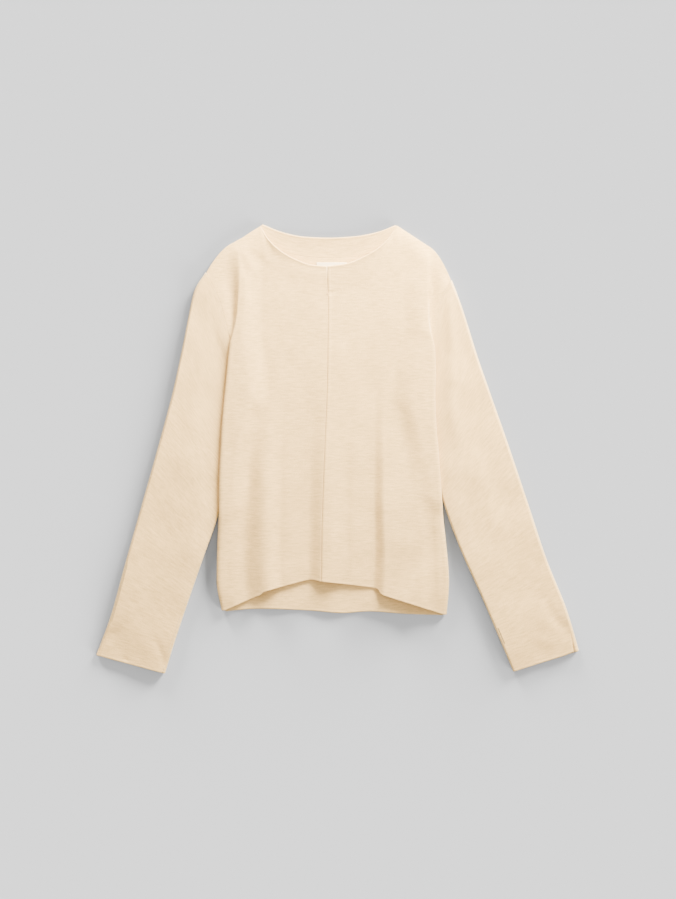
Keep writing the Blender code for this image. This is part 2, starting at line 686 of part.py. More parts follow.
def make_sleeve(side):
    shares = ARMHOLE_STEPS[1:]
    folds = [step / FOLD_STEPS for step in range(1, FOLD_STEPS)]
    around = [(0.0, 0.0)] + [(share, 0.0) for share in shares[1:]] + [(1.0, 0.0)]
    around += [(1.0, fold) for fold in folds]
    around += [(1.0, 1.0)] + [(share, 1.0) for share in shares[:0:-1]] + [(0.0, 1.0)]
    around += [(0.0, 1 + fold) for fold in folds]
    length = sum(math.dist(start[:2], end[:2]) for start, end in zip(side.sleeve, side.sleeve[1:]))
    slit_start = 1 - CUFF_SLIT / length
    along = [step / SLEEVE_STEPS * slit_start for step in range(SLEEVE_STEPS + 1)] + [1.0]
    rows = [[sleeve_point(side, a, share, turn) for share, turn in around] for a in along]
    slit_column = len(around) - 1 - FOLD_STEPS // 2
    slit_row = len(rows) - 2
    if side.sign < 0:
        return cloth(f"sleeve_{side.name}", rows, closed=True, leave_out={(slit_row, slit_column)})
    turned = [row[::-1] for row in rows]
    slit_column = (len(around) - 2 - slit_column) % len(around)
    return cloth(f"sleeve_{side.name}", turned, closed=True, leave_out={(slit_row, slit_column)})


def make_label():
    """A small woven label on the back's inner face, just under the neck seam."""
    bpy.ops.mesh.primitive_cube_add(size=1.0)
    part = bpy.context.active_object
    part.name = "label"
    size = Vector((LABEL_WIDTH, LABEL_HEIGHT, LABEL_THICKNESS)) * MM
    part.data.transform(((size.x, 0, 0, 0), (0, size.y, 0, 0), (0, 0, size.z, 0), (0, 0, 0, 1)))
    part.location = (
        Vector((LABEL_TOP[0], LABEL_TOP[1] - LABEL_HEIGHT / 2, WALL + LAY_GAP + LABEL_THICKNESS / 2)) * MM
    )
    return part


def centre_on_origin(parts):
    """Stands the whole garment on the origin, under the middle of its bounding box."""
    bpy.context.view_layer.update()
    graph = bpy.context.evaluated_depsgraph_get()
    points = []
    for part in parts:
        shape = part.evaluated_get(graph)
        points += [shape.matrix_world @ vertex.co for vertex in shape.to_mesh().vertices]
        shape.to_mesh_clear()
    points = np.array(points)
    low, high = points.min(axis=0), points.max(axis=0)
    shift = Vector((-(low[0] + high[0]) / 2, -(low[1] + high[1]) / 2, -low[2]))
    root = bpy.data.objects.new(NAME + "_origin", None)
    bpy.data.collections[NAME].objects.link(root)
    root.location = shift
    for part in parts:
        part.parent = root


def main():
    for old in list(bpy.data.objects):
        bpy.data.objects.remove(old, do_unlink=True)
    garment = bpy.data.collections.new(NAME)
    bpy.context.scene.collection.children.link(garment)
    parts = [make_front(side) for side in SIDES]
    parts += [make_back(), make_band()]
    parts += [make_sleeve(side) for side in SIDES]
    parts.append(make_label())
    for part in parts:
        colour = WHITE if part.name == "label" else CREAM
        part.data.materials.append(material(part.name + "_cloth", colour, ROUGHNESS))
        for holder in list(part.users_collection):
            holder.objects.unlink(part)
        garment.objects.link(part)
    centre_on_origin(parts)


main()
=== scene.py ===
import math
from collections import namedtuple
from functools import lru_cache

import bpy
import numpy as np
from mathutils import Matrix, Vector


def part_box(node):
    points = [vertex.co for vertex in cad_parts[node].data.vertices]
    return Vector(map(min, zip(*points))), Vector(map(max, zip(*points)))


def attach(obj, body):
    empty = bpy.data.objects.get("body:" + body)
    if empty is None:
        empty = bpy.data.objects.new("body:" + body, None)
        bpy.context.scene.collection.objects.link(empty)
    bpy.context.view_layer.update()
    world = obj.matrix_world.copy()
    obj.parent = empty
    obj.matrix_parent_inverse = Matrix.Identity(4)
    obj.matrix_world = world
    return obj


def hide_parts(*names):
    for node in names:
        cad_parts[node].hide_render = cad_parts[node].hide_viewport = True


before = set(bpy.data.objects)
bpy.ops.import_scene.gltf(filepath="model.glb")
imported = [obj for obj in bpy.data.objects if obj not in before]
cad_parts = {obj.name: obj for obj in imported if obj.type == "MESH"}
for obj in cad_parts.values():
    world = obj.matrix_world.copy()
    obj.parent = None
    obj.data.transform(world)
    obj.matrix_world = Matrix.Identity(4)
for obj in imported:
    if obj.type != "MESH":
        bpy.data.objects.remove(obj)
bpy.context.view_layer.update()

# The sweater's cloth, laid flat. Sizes are millimetres from the middle of the laid garment. Right and left
# are the wearer's. ROW_SHIFT takes a point to the model's own frame.
MM = 0.001
ROW_SHIFT = np.array([0.78, -0.91, 0.0])

# Cloth and the spaces between its layers
WALL = 2.0
SEAM_GAP = 0.10
CENTRE_GAP = 0.32
CENTRE_RADIUS = {"right": 0.5, "left": 1.0}
SEAM_RADIUS = 0.35
NECK_RADIUS = 0.15
HEM_RADIUS = 0.6
REST_Z = WALL / 2
SLEEVE_THICKNESS = 7.5
SLEEVE_FOLD_RADIUS = (SLEEVE_THICKNESS - WALL) / 2
ARMHOLE_REACH = 0.22
FRONT_Z = 6.8
EDGE_Z = 3.4

# Neck
RIM_Z = 8.8
RIM_ROLL = 9.0
TIP_Z = 4.6
TIP_SLOPE = 0.22
TIP_BLEND = 0.08
STAND_DIP = 0.3
STAND_DIP_AT = 20.0
STAND_DIP_WIDTH = 11.0
SHOULDER_ROUND = 9.0
BAND_RISE = 2.0
SLIT_LENGTH = 45.0
SLIT_WIDTH = 0.6

# Hem flutes
FLUTE_TOP_Y = 125.0
FLUTE_FULL_Y = -140.0

# Folds
BULGE_SLOPE = 36.0
VALLEY_SKEW = 0.75
CREASE_END = 0.35
DROP_START = 0.5
DROP_END = 0.9
TURN_SAMPLES = 96
SHOULDER_CROWN = 9.0
SHOULDER_CROWN_END = 0.07
UNDERARM_Y = 86.0
CORNER_EASE = 1.2
CORNER_LENGTH = 0.05
FRONT_LENGTH = 530.0
CUFF_SLIT = 26.0

# Back
NECK_START = 0.22
NECK_END = 0.78
BACK_CROWN = 10.5

Point = namedtuple("Point", "x y")


def outline(*places):
    return tuple(Point(*place) for place in places)


CENTRE = outline(
    (-17.1, 284.0), (-15.6, 225.0), (-16.6, 120.0), (-20.9, 0.0), (-24.6, -100.0), (-26.4, -204.5),
)
HEM_FRONT = outline(
    (-181.0, -252.0), (-147.0, -237.0), (-119.0, -224.5), (-115.0, -221.0), (-111.0, -219.5),
    (-82.0, -211.5), (-41.0, -202.0), (-26.0, -204.5), (16.0, -209.6), (58.0, -215.5), (62.5, -217.0),
    (66.0, -223.0), (70.0, -225.5), (124.0, -243.0), (169.0, -258.0),
)
HEM_BACK = outline(
    (-181.0, -251.4), (-121.0, -247.0), (-43.0, -250.0), (8.0, -254.0), (50.0, -251.5), (112.0, -256.0),
    (169.0, -257.8),
)
Flute = namedtuple("Flute", "x z")
FLUTES = (
    Flute(x=-185.0, z=6.0),
    Flute(x=-170.0, z=6.6),
    Flute(x=-141.0, z=4.4),
    Flute(x=-109.0, z=13.2),
    Flute(x=-84.0, z=6.4),
    Flute(x=-46.0, z=3.8),
    Flute(x=-21.0, z=12.6),
    Flute(x=16.0, z=6.6),
    Flute(x=54.0, z=3.6),
    Flute(x=72.0, z=12.8),
    Flute(x=126.0, z=12.2),
    Flute(x=160.0, z=9.0),
    Flute(x=172.0, z=7.0),
)
NECK_SEAM = outline(
    (-139.0, 331.5), (-113.0, 319.0), (-84.0, 306.5), (-46.0, 299.0), (-14.0, 297.6), (19.0, 299.0),
    (56.0, 306.0), (88.0, 319.0), (113.0, 330.5),
)
BACK_RIM = outline(
    (-117.0, 349.3), (-86.0, 337.0), (-52.0, 330.0), (-14.0, 328.4), (25.0, 330.5), (60.0, 337.0),
    (89.0, 347.9),
)
# A level of the body's edge: where the edge is, how far in its roll starts, the heights of its top, its
# underside and the seam, the dip of the armhole's valley, the share that is tucked under, and the flat width
# beside the roll.
Turn = namedtuple("Turn", "y edge roll top_z under_z seam_z dip tuck flat")
# A line across a sleeve, from its outer fold to its inner one
Section = namedtuple("Section", "outer_x outer_y inner_x inner_y")
Side = namedtuple("Side", "name sign front_top rim_points armhole side_seam turns sleeve")


def tucked(y, edge, seam_z, flat):
    """A level where the body lies on its tucked side and on the sleeve."""
    return Turn(y, edge, roll=5.0, top_z=13.0, under_z=8.9, seam_z=seam_z, dip=0.0, tuck=1.0, flat=flat)


RIGHT_SIDE = Side(
    name="right",
    sign=-1,
    front_top=outline(
        (-17.1, 284.0), (-40.0, 286.0), (-66.0, 295.0), (-89.0, 308.2), (-107.0, 325.0),
        (-120.5, 346.0), (-135.3, 337.1), (-157.0, 322.4),
    ),
    rim_points=6,
    armhole=outline(
        (-205.0, 275.0), (-194.5, 254.0), (-185.5, 235.0), (-177.5, 208.0), (-172.5, 190.0),
        (-164.5, 166.0), (-159.0, 137.0), (-154.0, 110.0), (-146.0, 86.0),
    ),
    side_seam=outline(
        (-146.0, 86.0), (-143.5, 66.0), (-144.0, 40.0), (-149.5, 0.0), (-159.0, -55.0),
        (-166.0, -110.0), (-170.0, -180.0), (-173.5, -251.0),
    ),
    turns=(
        Turn(322.4, -157.0, 0.0, 3.4, 3.4, 3.75, 0.0, 0.0, 0.0),
        Turn(300.0, -157.0, 3.0, 8.6, 6.5, 6.5, 2.6, 0.0, 0.0),
        Turn(270.0, -158.0, 6.0, 10.2, 6.5, 6.5, 4.4, 0.0, 0.0),
        Turn(240.0, -160.0, 7.0, 11.0, 6.5, 6.5, 4.6, 0.0, 2.0),
        Turn(212.0, -162.0, 7.0, 11.8, 7.0, 6.7, 3.6, 0.0, 3.0),
        Turn(194.0, -164.0, 6.0, 12.6, 8.9, 8.0, 1.6, 0.1, 5.0),
        Turn(180.0, -165.5, 5.5, 13.0, 8.9, 8.9, 0.0, 0.6, 7.0),
        tucked(165.0, -167.2, 8.9, 10.0),
        tucked(120.0, -171.2, 8.9, 22.0),
        tucked(85.0, -174.6, 8.9, 28.0),
        tucked(58.0, -177.2, 8.9, 32.0),
        tucked(32.0, -179.2, 1.0, 24.0),
        tucked(0.0, -180.8, 1.0, 18.0),
        tucked(-55.0, -183.0, 1.0, 12.0),
        tucked(-95.0, -183.2, 1.0, 8.0),
        Turn(-125.0, -184.6, 5.5, 10.6, 4.0, 1.0, 0.0, 1.0, 2.0),
        Turn(-155.0, -186.2, 6.0, 9.4, 1.0, 1.0, 0.0, 1.0, 0.0),
        Turn(-205.0, -187.2, 6.0, 8.2, 1.0, 1.0, 0.0, 1.0, 0.0),
        Turn(-251.0, -179.5, 5.0, 5.2, 1.0, 1.0, 0.0, 1.0, 0.0),
    ),
    sleeve=(
        Section(-206.0, 277.0, -146.0, 86.0),
        Section(-222.5, 247.0, -151.0, 70.0),
        Section(-232.5, 200.7, -157.0, 47.0),
        Section(-243.5, 146.0, -163.5, 16.0),
        Section(-256.0, 90.0, -171.0, -22.0),
        Section(-276.0, 14.7, -183.5, -92.0),
        Section(-302.2, -78.3, -208.0, -165.0),
        Section(-328.6, -171.3, -231.0, -232.0),
        Section(-354.0, -262.0, -253.0, -298.0),
        Section(-375.6, -319.0, -268.2, -347.5),
    ),
)
LEFT_SIDE = Side(
    name="left",
    sign=1,
    front_top=outline(
        (-17.1, 284.0), (13.0, 288.1), (40.0, 299.0), (64.0, 313.5), (80.0, 330.0), (91.0, 347.4),
        (110.0, 335.0), (139.0, 316.0),
    ),
    rim_points=6,
    armhole=outline(
        (176.0, 263.0), (168.0, 250.0), (161.5, 236.0), (156.5, 214.0), (151.5, 192.0), (142.5, 160.0),
        (135.0, 132.0), (128.0, 108.0), (119.0, 86.0),
    ),
    side_seam=outline(
        (119.0, 86.0), (116.5, 66.0), (118.0, 40.0), (125.5, 0.0), (138.0, -50.0), (149.0, -100.0),
        (156.0, -170.0), (161.5, -257.0),
    ),
    turns=(
        Turn(316.0, 139.0, 0.0, 3.4, 3.4, 3.75, 0.0, 0.0, 0.0),
        Turn(292.0, 141.0, 3.0, 8.6, 6.5, 6.5, 2.6, 0.0, 0.0),
        Turn(262.0, 144.0, 6.0, 10.0, 6.5, 6.5, 4.2, 0.0, 0.0),
        Turn(235.0, 144.5, 7.0, 10.8, 6.5, 6.5, 4.2, 0.0, 2.0),
        Turn(208.0, 145.5, 7.0, 11.6, 7.0, 6.7, 3.2, 0.0, 3.0),
        Turn(188.0, 146.5, 6.0, 12.4, 8.9, 8.2, 1.2, 0.2, 4.0),
        Turn(174.0, 148.0, 5.5, 13.0, 8.9, 8.9, 0.0, 0.7, 6.0),
        tucked(158.0, 149.3, 8.9, 9.0),
        tucked(118.0, 150.6, 8.9, 20.0),
        tucked(85.0, 149.6, 8.9, 26.0),
        tucked(54.0, 150.4, 8.9, 28.0),
        tucked(28.0, 152.0, 1.0, 22.0),
        tucked(0.0, 154.5, 1.0, 17.0),
        tucked(-45.0, 157.6, 1.0, 11.0),
        tucked(-75.0, 160.0, 1.0, 9.0),
        Turn(-105.0, 161.9, 5.5, 10.2, 4.0, 1.0, 0.0, 1.0, 2.0),
        Turn(-140.0, 165.8, 6.0, 9.8, 1.0, 1.0, 0.0, 1.0, 0.0),
        Turn(-205.0, 171.2, 6.0, 8.8, 1.0, 1.0, 0.0, 1.0, 0.0),
        Turn(-257.0, 167.6, 5.0, 5.2, 1.0, 1.0, 0.0, 1.0, 0.0),
    ),
    sleeve=(
        Section(177.0, 264.0, 119.0, 86.0),
        Section(187.5, 234.0, 124.5, 70.0),
        Section(198.4, 200.7, 131.0, 48.0),
        Section(215.5, 146.0, 138.5, 18.0),
        Section(235.0, 90.0, 148.0, -24.0),
        Section(261.5, 14.7, 165.5, -88.0),
        Section(292.9, -78.3, 192.5, -161.0),
        Section(323.9, -171.3, 222.5, -228.0),
        Section(354.9, -248.8, 250.0, -293.0),
        Section(374.0, -312.5, 272.0, -344.6),
    ),
)
SIDES = (RIGHT_SIDE, LEFT_SIDE)

# Creases are soft troughs, with a depth below zero, and ridges, along a line of points.
Crease = namedtuple("Crease", "depth width points")
COLLAR_FOOT = (
    (-118, 318), (-98, 299), (-72, 283), (-42, 273), (-17, 271), (15, 275), (44, 286), (70, 301), (88, 320)
)
FRONT_CREASES = (
    # Below the rim the collar runs out into the fronts.
    Crease(1.3, 14.0, COLLAR_FOOT),
    # Left of the photo: creases fan out from the shoulder.
    Crease(1.0, 3.0, ((-162, 319), (-156, 309))),
    Crease(-0.6, 5.0, ((-157, 312), (-151, 288), (-142, 267))),
    Crease(0.5, 6.0, ((-151, 312), (-139, 290), (-125, 272))),
    Crease(-0.5, 7.0, ((-136, 306), (-126, 297), (-112, 283))),
    Crease(0.7, 7.0, ((-146, 280), (-144, 240), (-148, 200))),
    # Along the body's edge on the right of the photo
    Crease(-0.7, 2.4, ((146, 236), (147, 200), (146, 150), (146, 110))),
    # Soft dents
    Crease(-1.1, 16.0, ((-112, 150), (-118, 90), (-125, 30))),
    Crease(-3.2, 15.0, ((148, -118), (136, -150), (119, -190), (110, -212))),
    Crease(2.6, 12.0, ((160, -120), (164, -165), (160, -228))),
    Crease(0.9, 14.0, ((108, -120), (100, -170))),
    Crease(-0.8, 15.0, ((100, 60), (104, -10), (92, -70))),
    Crease(-0.9, 18.0, ((-170, -150), (-172, -200), (-165, -235))),
    Crease(-0.6, 20.0, ((40, 120), (60, 60), (66, 10))),
    Crease(-0.5, 18.0, ((-60, 150), (-52, 90), (-48, 40))),
    # Dimple at the end of the slit
    Crease(-0.9, 2.6, ((-14.5, 241.5), (-8.5, 243.5))),
    Crease(-0.35, 3.5, ((-8.5, 243.5), (2, 245))),
)
SLEEVE_RIGHT_CREASES = (
    Crease(-2.0, 10.0, ((-334, -272), (-352, -292), (-368, -314))),
    Crease(-0.9, 5.0, ((-281, -298), (-273, -318), (-269, -336))),
    Crease(0.7, 10.0, ((-300, -290), (-290, -318), (-300, -336))),
    Crease(-0.8, 3.0, ((-333, -324), (-325, -327))),
    Crease(-0.9, 14.0, ((-232, 130), (-246, 70), (-258, 20), (-282, -60))),
    Crease(-0.8, 12.0, ((-214, 220), (-212, 170))),
    Crease(-0.9, 13.0, ((-200, -60), (-222, -110), (-250, -150))),
    Crease(0.7, 16.0, ((-215, 100), (-225, 20), (-246, -60), (-268, -150))),
    Crease(-0.8, 16.0, ((-318, -190), (-300, -215), (-290, -240))),
)
SLEEVE_LEFT_CREASES = (
    Crease(-1.8, 9.0, ((322, -232), (336, -262), (350, -275), (359, -288))),
    Crease(0.8, 10.0, ((300, -290), (330, -300), (350, -306))),
    Crease(-0.8, 14.0, ((212, 60), (236, -20), (262, -90))),
    Crease(-0.9, 15.0, ((262, -150), (282, -190), (296, -230))),
    Crease(0.7, 14.0, ((186, 60), (206, -10), (232, -80), (250, -130))),
    Crease(-0.6, 12.0, ((190, 180), (196, 140), (206, 110))),
)
# Waves of unevenness over all cloth: wave numbers across and down, in turns a metre, phase and height.
Wave = namedtuple("Wave", "across down phase height")
WAVES = (
    Wave(across=7.3, down=2.1, phase=0.4, height=0.30),
    Wave(across=-4.1, down=6.7, phase=2.1, height=0.26),
    Wave(across=13.0, down=-3.6, phase=4.0, height=0.15),
    Wave(across=2.7, down=14.5, phase=1.2, height=0.10),
    Wave(across=18.5, down=9.4, phase=5.2, height=0.07),
)


def blend(start, end, share):
    return start + (end - start) * share


def ease(share):
    """0 to 1, flat at both ends."""
    share = np.clip(share, 0.0, 1.0)
    return share * share * (3 - 2 * share)


def shared_slope(before, after):
    """The slope through a table's row: the harmonic mean of the steps beside it, which never overshoots."""
    total = before + after
    safe = np.where(np.abs(total) > 1e-9, total, 1.0)
    return np.where(before * after > 0, 2 * before * after / safe, 0.0)


@lru_cache(maxsize=None)
def fine_rows(rows):
    """A table's rows and the smooth curve between them, sampled finely."""
    table = np.array(rows, float)
    steps = 16
    last = len(table) - 1
    samples = []
    for index in range(last * steps + 1):
        row = min(index // steps, last - 1)
        share = index / steps - row
        start, end = table[row], table[row + 1]
        step = end - start
        start_slope = shared_slope(start - table[row - 1], step) if row > 0 else step
        end_slope = shared_slope(step, table[row + 2] - end) if row + 2 <= last else step
        cubed, squared = share**3, share**2
        samples.append(
            (2 * cubed - 3 * squared + 1) * start
            + (cubed - 2 * squared + share) * start_slope
            + (3 * squared - 2 * cubed) * end
            + (cubed - squared) * end_slope
        )
    return np.array(samples)


def interpolate(places, keys, table):
    """Every column of a table at some places along its keys."""
    return np.stack([np.interp(places, keys, column) for column in table.T], axis=-1)


def distances(line):
    """How far along a line each of its points is."""
    return np.concatenate([[0.0], np.cumsum(np.linalg.norm(np.diff(line, axis=0), axis=1))])


def rows_at(rows, column, values):
    """A table's rows, one for each value of one of its columns."""
    fine = fine_rows(rows)
    keys = fine[:, rows[0]._fields.index(column)]
    if keys[0] > keys[-1]:
        fine, keys = fine[::-1], keys[::-1]
    return interpolate(values, keys, fine)


@lru_cache(maxsize=None)
def lengths(rows):
    return distances(fine_rows(rows)[:, :2])


def walk(rows, share):
    """The points at shares of a curve's length."""
    along = lengths(rows)
    return interpolate(np.asarray(share) * along[-1], along, fine_rows(rows)[:, :2])


def flute_z(x):
    """Height of the fluted hem, which eases from each crest to the next valley."""
    z = np.full(np.shape(x), FLUTES[0].z)
    for start, end in zip(FLUTES, FLUTES[1:]):
        share = ease((x - start.x) / (end.x - start.x))
        z = np.where(x >= start.x, blend(start.z, end.z, share), z)
    return z


def tip_share(side):
    rim = lengths(side.front_top[: side.rim_points])[-1]
    shoulder = lengths(side.front_top[side.rim_points - 1 :])[-1]
    return rim / (rim + shoulder)


def top_boundary(side, across):
    """The front's upper edge: along the rim to the collar's tip, then down the shoulder."""
    tip = tip_share(side)
    rim = walk(side.front_top[: side.rim_points], np.clip(across / tip, 0, 1))
    shoulder = walk(side.front_top[side.rim_points - 1 :], np.clip((across - tip) / (1 - tip), 0, 1))
    return np.where((across <= tip)[:, None], rim, shoulder)


def turns_at(side, down):
    """The levels of the body's edge at shares of the way down to the hem, as one Turn of arrays."""
    values = rows_at(side.turns, "y", blend(side.turns[0].y, side.turns[-1].y, down))
    return Turn(*np.moveaxis(values, -1, 0))


def turn_start(side, down):
    turn = turns_at(side, down)
    return np.stack([turn.edge - side.sign * turn.roll, turn.y], axis=-1)


def centre_point(down):
    return rows_at(CENTRE, "y", blend(CENTRE[0].y, CENTRE[-1].y, down))


def hem_point(side, across):
    x = blend(CENTRE[-1].x, turn_start(side, np.array(1.0))[0], across)
    return rows_at(HEM_FRONT, "x", x)


def front_plan(side, across, down):
    """The upper layer's outline, filled evenly from its four edges, for every down and across."""
    a = across[None, :, None]
    d = down[:, None, None]
    first, last = np.array([0.0]), np.array([1.0])
    corner_top, corner_hem = turn_start(side, first), hem_point(side, last)
    corners = (
        (1 - a) * (1 - d) * centre_point(first)
        + a * (1 - d) * corner_top
        + (1 - a) * d * centre_point(last)
        + a * d * corner_hem
    )
    edge = turn_start(side, down) + down[:, None] * (corner_hem - turn_start(side, last))
    return (
        (1 - d) * top_boundary(side, across)[None]
        + d * hem_point(side, across)[None]
        + (1 - a) * centre_point(down)[:, None]
        + a * edge[:, None]
        - corners
    )


def collar_z(across, down, tip):
    """Height near the top edge: the collar stands up along the rim, and the shoulder rounds down."""
    distance = down * FRONT_LENGTH
    rim_z = blend(TIP_Z, RIM_Z, ease((tip - across) / TIP_SLOPE))
    stand = FRONT_Z + (rim_z - FRONT_Z) * np.exp(-((distance / RIM_ROLL) ** 2))
    stand = stand - STAND_DIP * np.exp(-(((distance - STAND_DIP_AT) / STAND_DIP_WIDTH) ** 2))
    shoulder = EDGE_Z + (FRONT_Z - EDGE_Z) * (1 - np.exp(-distance / SHOULDER_ROUND))
    return blend(stand, shoulder, ease((across - tip) / TIP_BLEND + 0.5))


def front_z(side, across, down, plan):
    """Height of the upper layer: calm at the top, fluted to the hem, and bulging over the tucked side."""
    calm = collar_z(across[None, :], down[:, None], tip_share(side))
    hem_x = blend(CENTRE[-1].x, hem_point(side, np.array(1.0))[0], across)[None, :]
    grown = ease((FLUTE_TOP_Y - plan[..., 1]) / (FLUTE_TOP_Y - FLUTE_FULL_Y))
    fluted = blend(calm, flute_z(hem_x), grown)
    turn = turns_at(side, down)
    inward = np.abs(plan[..., 0] - turn_start(side, down)[:, None, 0])
    bulge = 1 - ease((inward - turn.flat[:, None]) / BULGE_SLOPE)
    return blend(fluted, turn.top_z[:, None], bulge)


def down_at(side, step):
    """How far down the garment a step is: 0 to 1 down the armhole, 1 to 2 down the side seam."""
    underarm = (side.turns[0].y - UNDERARM_Y) / (side.turns[0].y - side.turns[-1].y)
    return np.where(step <= 1, underarm * step, blend(underarm, 1.0, step - 1))


def body_edge(side, step):
    """The edge that a front and the back share: down the armhole to the underarm, then down the side."""
    above = walk(side.armhole, np.clip(step, 0, 1))
    below = walk(side.side_seam, np.clip(step - 1, 0, 1))
    seam = np.where((step <= 1)[..., None], above, below)
    corner = np.maximum(0.0, 1 - np.minimum(step, np.abs(1 - step)) / CORNER_LENGTH)
    seam[..., 0] -= side.sign * (SEAM_GAP / 2 + CORNER_EASE * corner)
    return seam


def raw_turn(side, step):
    """Past the body's edge, a row of points for each step: the armhole's valley, then the tucked cloth."""
    down = down_at(side, step)
    turn = Turn(*(values[:, None] for values in turns_at(side, down)))
    start = front_plan(side, np.array([1.0]), down)
    seam = body_edge(side, step)
    seam[:, 0] += np.where(step > 1, side.sign * SEAM_GAP, 0.0)
    share = np.linspace(0.0, 1.0, TURN_SAMPLES + 1)[None, :]
    bow = SHOULDER_CROWN * np.maximum(0.0, 1 - down / SHOULDER_CROWN_END)[:, None] * 4 * share * (1 - share)
    y = blend(start[..., 1], seam[:, 1:], share) + bow
    valley_x = blend(start[..., 0], seam[:, :1], share)
    valley_z = blend(turn.top_z, turn.seam_z, ease(share))
    valley_z = valley_z - turn.dip * np.sin(math.pi * share**VALLEY_SKEW) ** 2
    edge_x = start[..., 0] + side.sign * turn.roll
    beyond = side.sign * (seam[:, :1] - start[..., 0])
    foot_x = start[..., 0] + side.sign * np.minimum(np.maximum(beyond, 0.0), turn.roll)
    angle = math.pi * share / 0.5
    round_x = blend(np.where(share <= 0.25, start[..., 0], foot_x), edge_x, np.sin(angle))
    round_z = (turn.top_z + turn.under_z) / 2 + (turn.top_z - turn.under_z) / 2 * np.cos(angle)
    under = (share - 0.5) / 0.5
    flat_x = blend(foot_x, seam[:, :1], under)
    flat_z = blend(turn.under_z, turn.seam_z, ease((under - DROP_START) / (DROP_END - DROP_START)))
    tuck_x = np.where(share <= 0.5, round_x, flat_x)
    tuck_z = np.where(share <= 0.5, round_z, flat_z)
    return np.stack([blend(valley_x, tuck_x, turn.tuck), y, blend(valley_z, tuck_z, turn.tuck)], axis=-1)


def turn_points(side, shares, step):
    """Points at shares of the length round the turn and under it, one row for each step."""
    rows = []
    for path in raw_turn(side, step):
        along = distances(path)
        rows.append(interpolate(shares, along / along[-1], path))
    return np.array(rows)


def crease_height(creases, points):
    """The height that the creases and the waves of unevenness add at each point, in millimetres."""
    x, y = points[..., 0], points[..., 1]
    height = np.zeros(x.shape)
    for wave in WAVES:
        height += wave.height * np.sin(2 * math.pi * (wave.across * x + wave.down * y) * MM + wave.phase)
    for crease in creases:
        line = np.array(crease.points, float)
        steps = np.linalg.norm(np.diff(line, axis=0), axis=1)
        total, passed = steps.sum(), 0.0
        nearest = np.full(x.shape, 1e9)
        along = np.zeros(x.shape)
        for start, end, length in zip(line, line[1:], steps):
            run = (end - start) / length
            t = np.clip((x - start[0]) * run[0] + (y - start[1]) * run[1], 0, length)
            far = np.hypot(x - start[0] - run[0] * t, y - start[1] - run[1] * t)
            closer = far < nearest
            nearest = np.where(closer, far, nearest)
            along = np.where(closer, (passed + t) / total, along)
            passed += length
        taper = CREASE_END + (1 - CREASE_END) * np.sin(math.pi * np.clip(along, 0, 1))
        height += crease.depth * taper * np.exp(-((nearest / crease.width) ** 2))
    return height


# Free edges and seams are round, and a free edge has a slightly thicker selvedge with a groove inside it.
ROUND_STEPS = (0.0, 0.06, 0.25, 0.55, 0.95, 1.5, 2.3, 3.3, 4.4, 5.6)
SELVEDGE = 0.10
SELVEDGE_AT = 2.0
SELVEDGE_WIDTH = 1.1
GROOVE = 0.07
GROOVE_AT = 4.4
GROOVE_WIDTH = 0.8
THICKEST = 1.12
THINNEST = 0.02


def rounded(distance, radius=WALL / 2):
    """A wall's share of its full thickness at a distance from its edge."""
    inside = np.clip(distance / radius, 0, 1)
    return np.sqrt(np.clip(1 - (1 - inside) ** 2, 0.0, 1.0))


def selvedge(distance):
    raised = SELVEDGE * np.exp(-(((distance - SELVEDGE_AT) / SELVEDGE_WIDTH) ** 2))
    return 1 + raised - GROOVE * np.exp(-(((distance - GROOVE_AT) / GROOVE_WIDTH) ** 2))


def along_grid(points, axis):
    """Distances along a grid's rows or columns."""
    steps = np.linalg.norm(np.diff(points, axis=axis), axis=-1)
    total = np.cumsum(steps, axis=axis)
    shape = list(total.shape)
    shape[axis] = 1
    return np.concatenate([np.zeros(shape), total], axis=axis)


def fill(start, end, step, start_edge, end_edge):
    """Values from start to end, about a step apart, and closer together at the ends that are edges."""
    length = abs(end - start)
    inner_start = ROUND_STEPS[-1] if start_edge else 0.0
    inner_end = ROUND_STEPS[-1] if end_edge else 0.0
    count = max(2, round((length - inner_start - inner_end) / step))
    values = list(np.linspace(inner_start, length - inner_end, count + 1))
    if start_edge:
        values = list(ROUND_STEPS[:-1]) + values
    if end_edge:
        values += [length - near for near in ROUND_STEPS[-2::-1]]
    return np.array(values) / length


def margins(points):
    """Distances of a grid's points from its first column and row, then from its last column and row."""
    u, v = along_grid(points, 1), along_grid(points, 0)
    return u, v, u[:, -1:] - u, v[-1:] - v


def new_piece(name, points, faces, material):
    """A smooth mesh of one material in the scene. Its points are in metres."""
    mesh = bpy.data.meshes.new(name)
    mesh.from_pydata(points, [], faces)
    mesh.shade_smooth()
    mesh.materials.append(material)
    piece = bpy.data.objects.new(name, mesh)
    bpy.context.scene.collection.objects.link(piece)
    return piece


def in_frame(points):
    return ((points + ROW_SHIFT) * MM).tolist()


def shell(name, points, faces, uvs, thickness, material):
    """A closed wall of cloth round middle points. thickness is each point's share of WALL."""
    piece = new_piece(name, in_frame(points), faces.tolist(), material)
    layer = piece.data.uv_layers.new(name="cloth")
    layer.data.foreach_set("uv", (uvs * MM).astype(np.float32).ravel())
    group = piece.vertex_groups.new(name="wall")
    shares = np.clip(thickness / THICKEST, THINNEST, 1.0)
    for level in np.unique(np.round(shares, 2)):
        members = np.nonzero(np.round(shares, 2) == level)[0]
        group.add(members.tolist(), float(level), "REPLACE")
    wall = piece.modifiers.new("wall", "SOLIDIFY")
    wall.thickness = WALL * THICKEST * MM
    wall.offset = 0.0
    wall.vertex_group = group.name
    wall.use_quality_normals = True
    return piece


def grid_faces(rows, columns):
    row, column = np.meshgrid(np.arange(rows - 1), np.arange(columns - 1), indexing="ij")
    first = (row * columns + column).ravel()
    return np.stack([first, first + columns, first + columns + 1, first + 1], axis=-1)


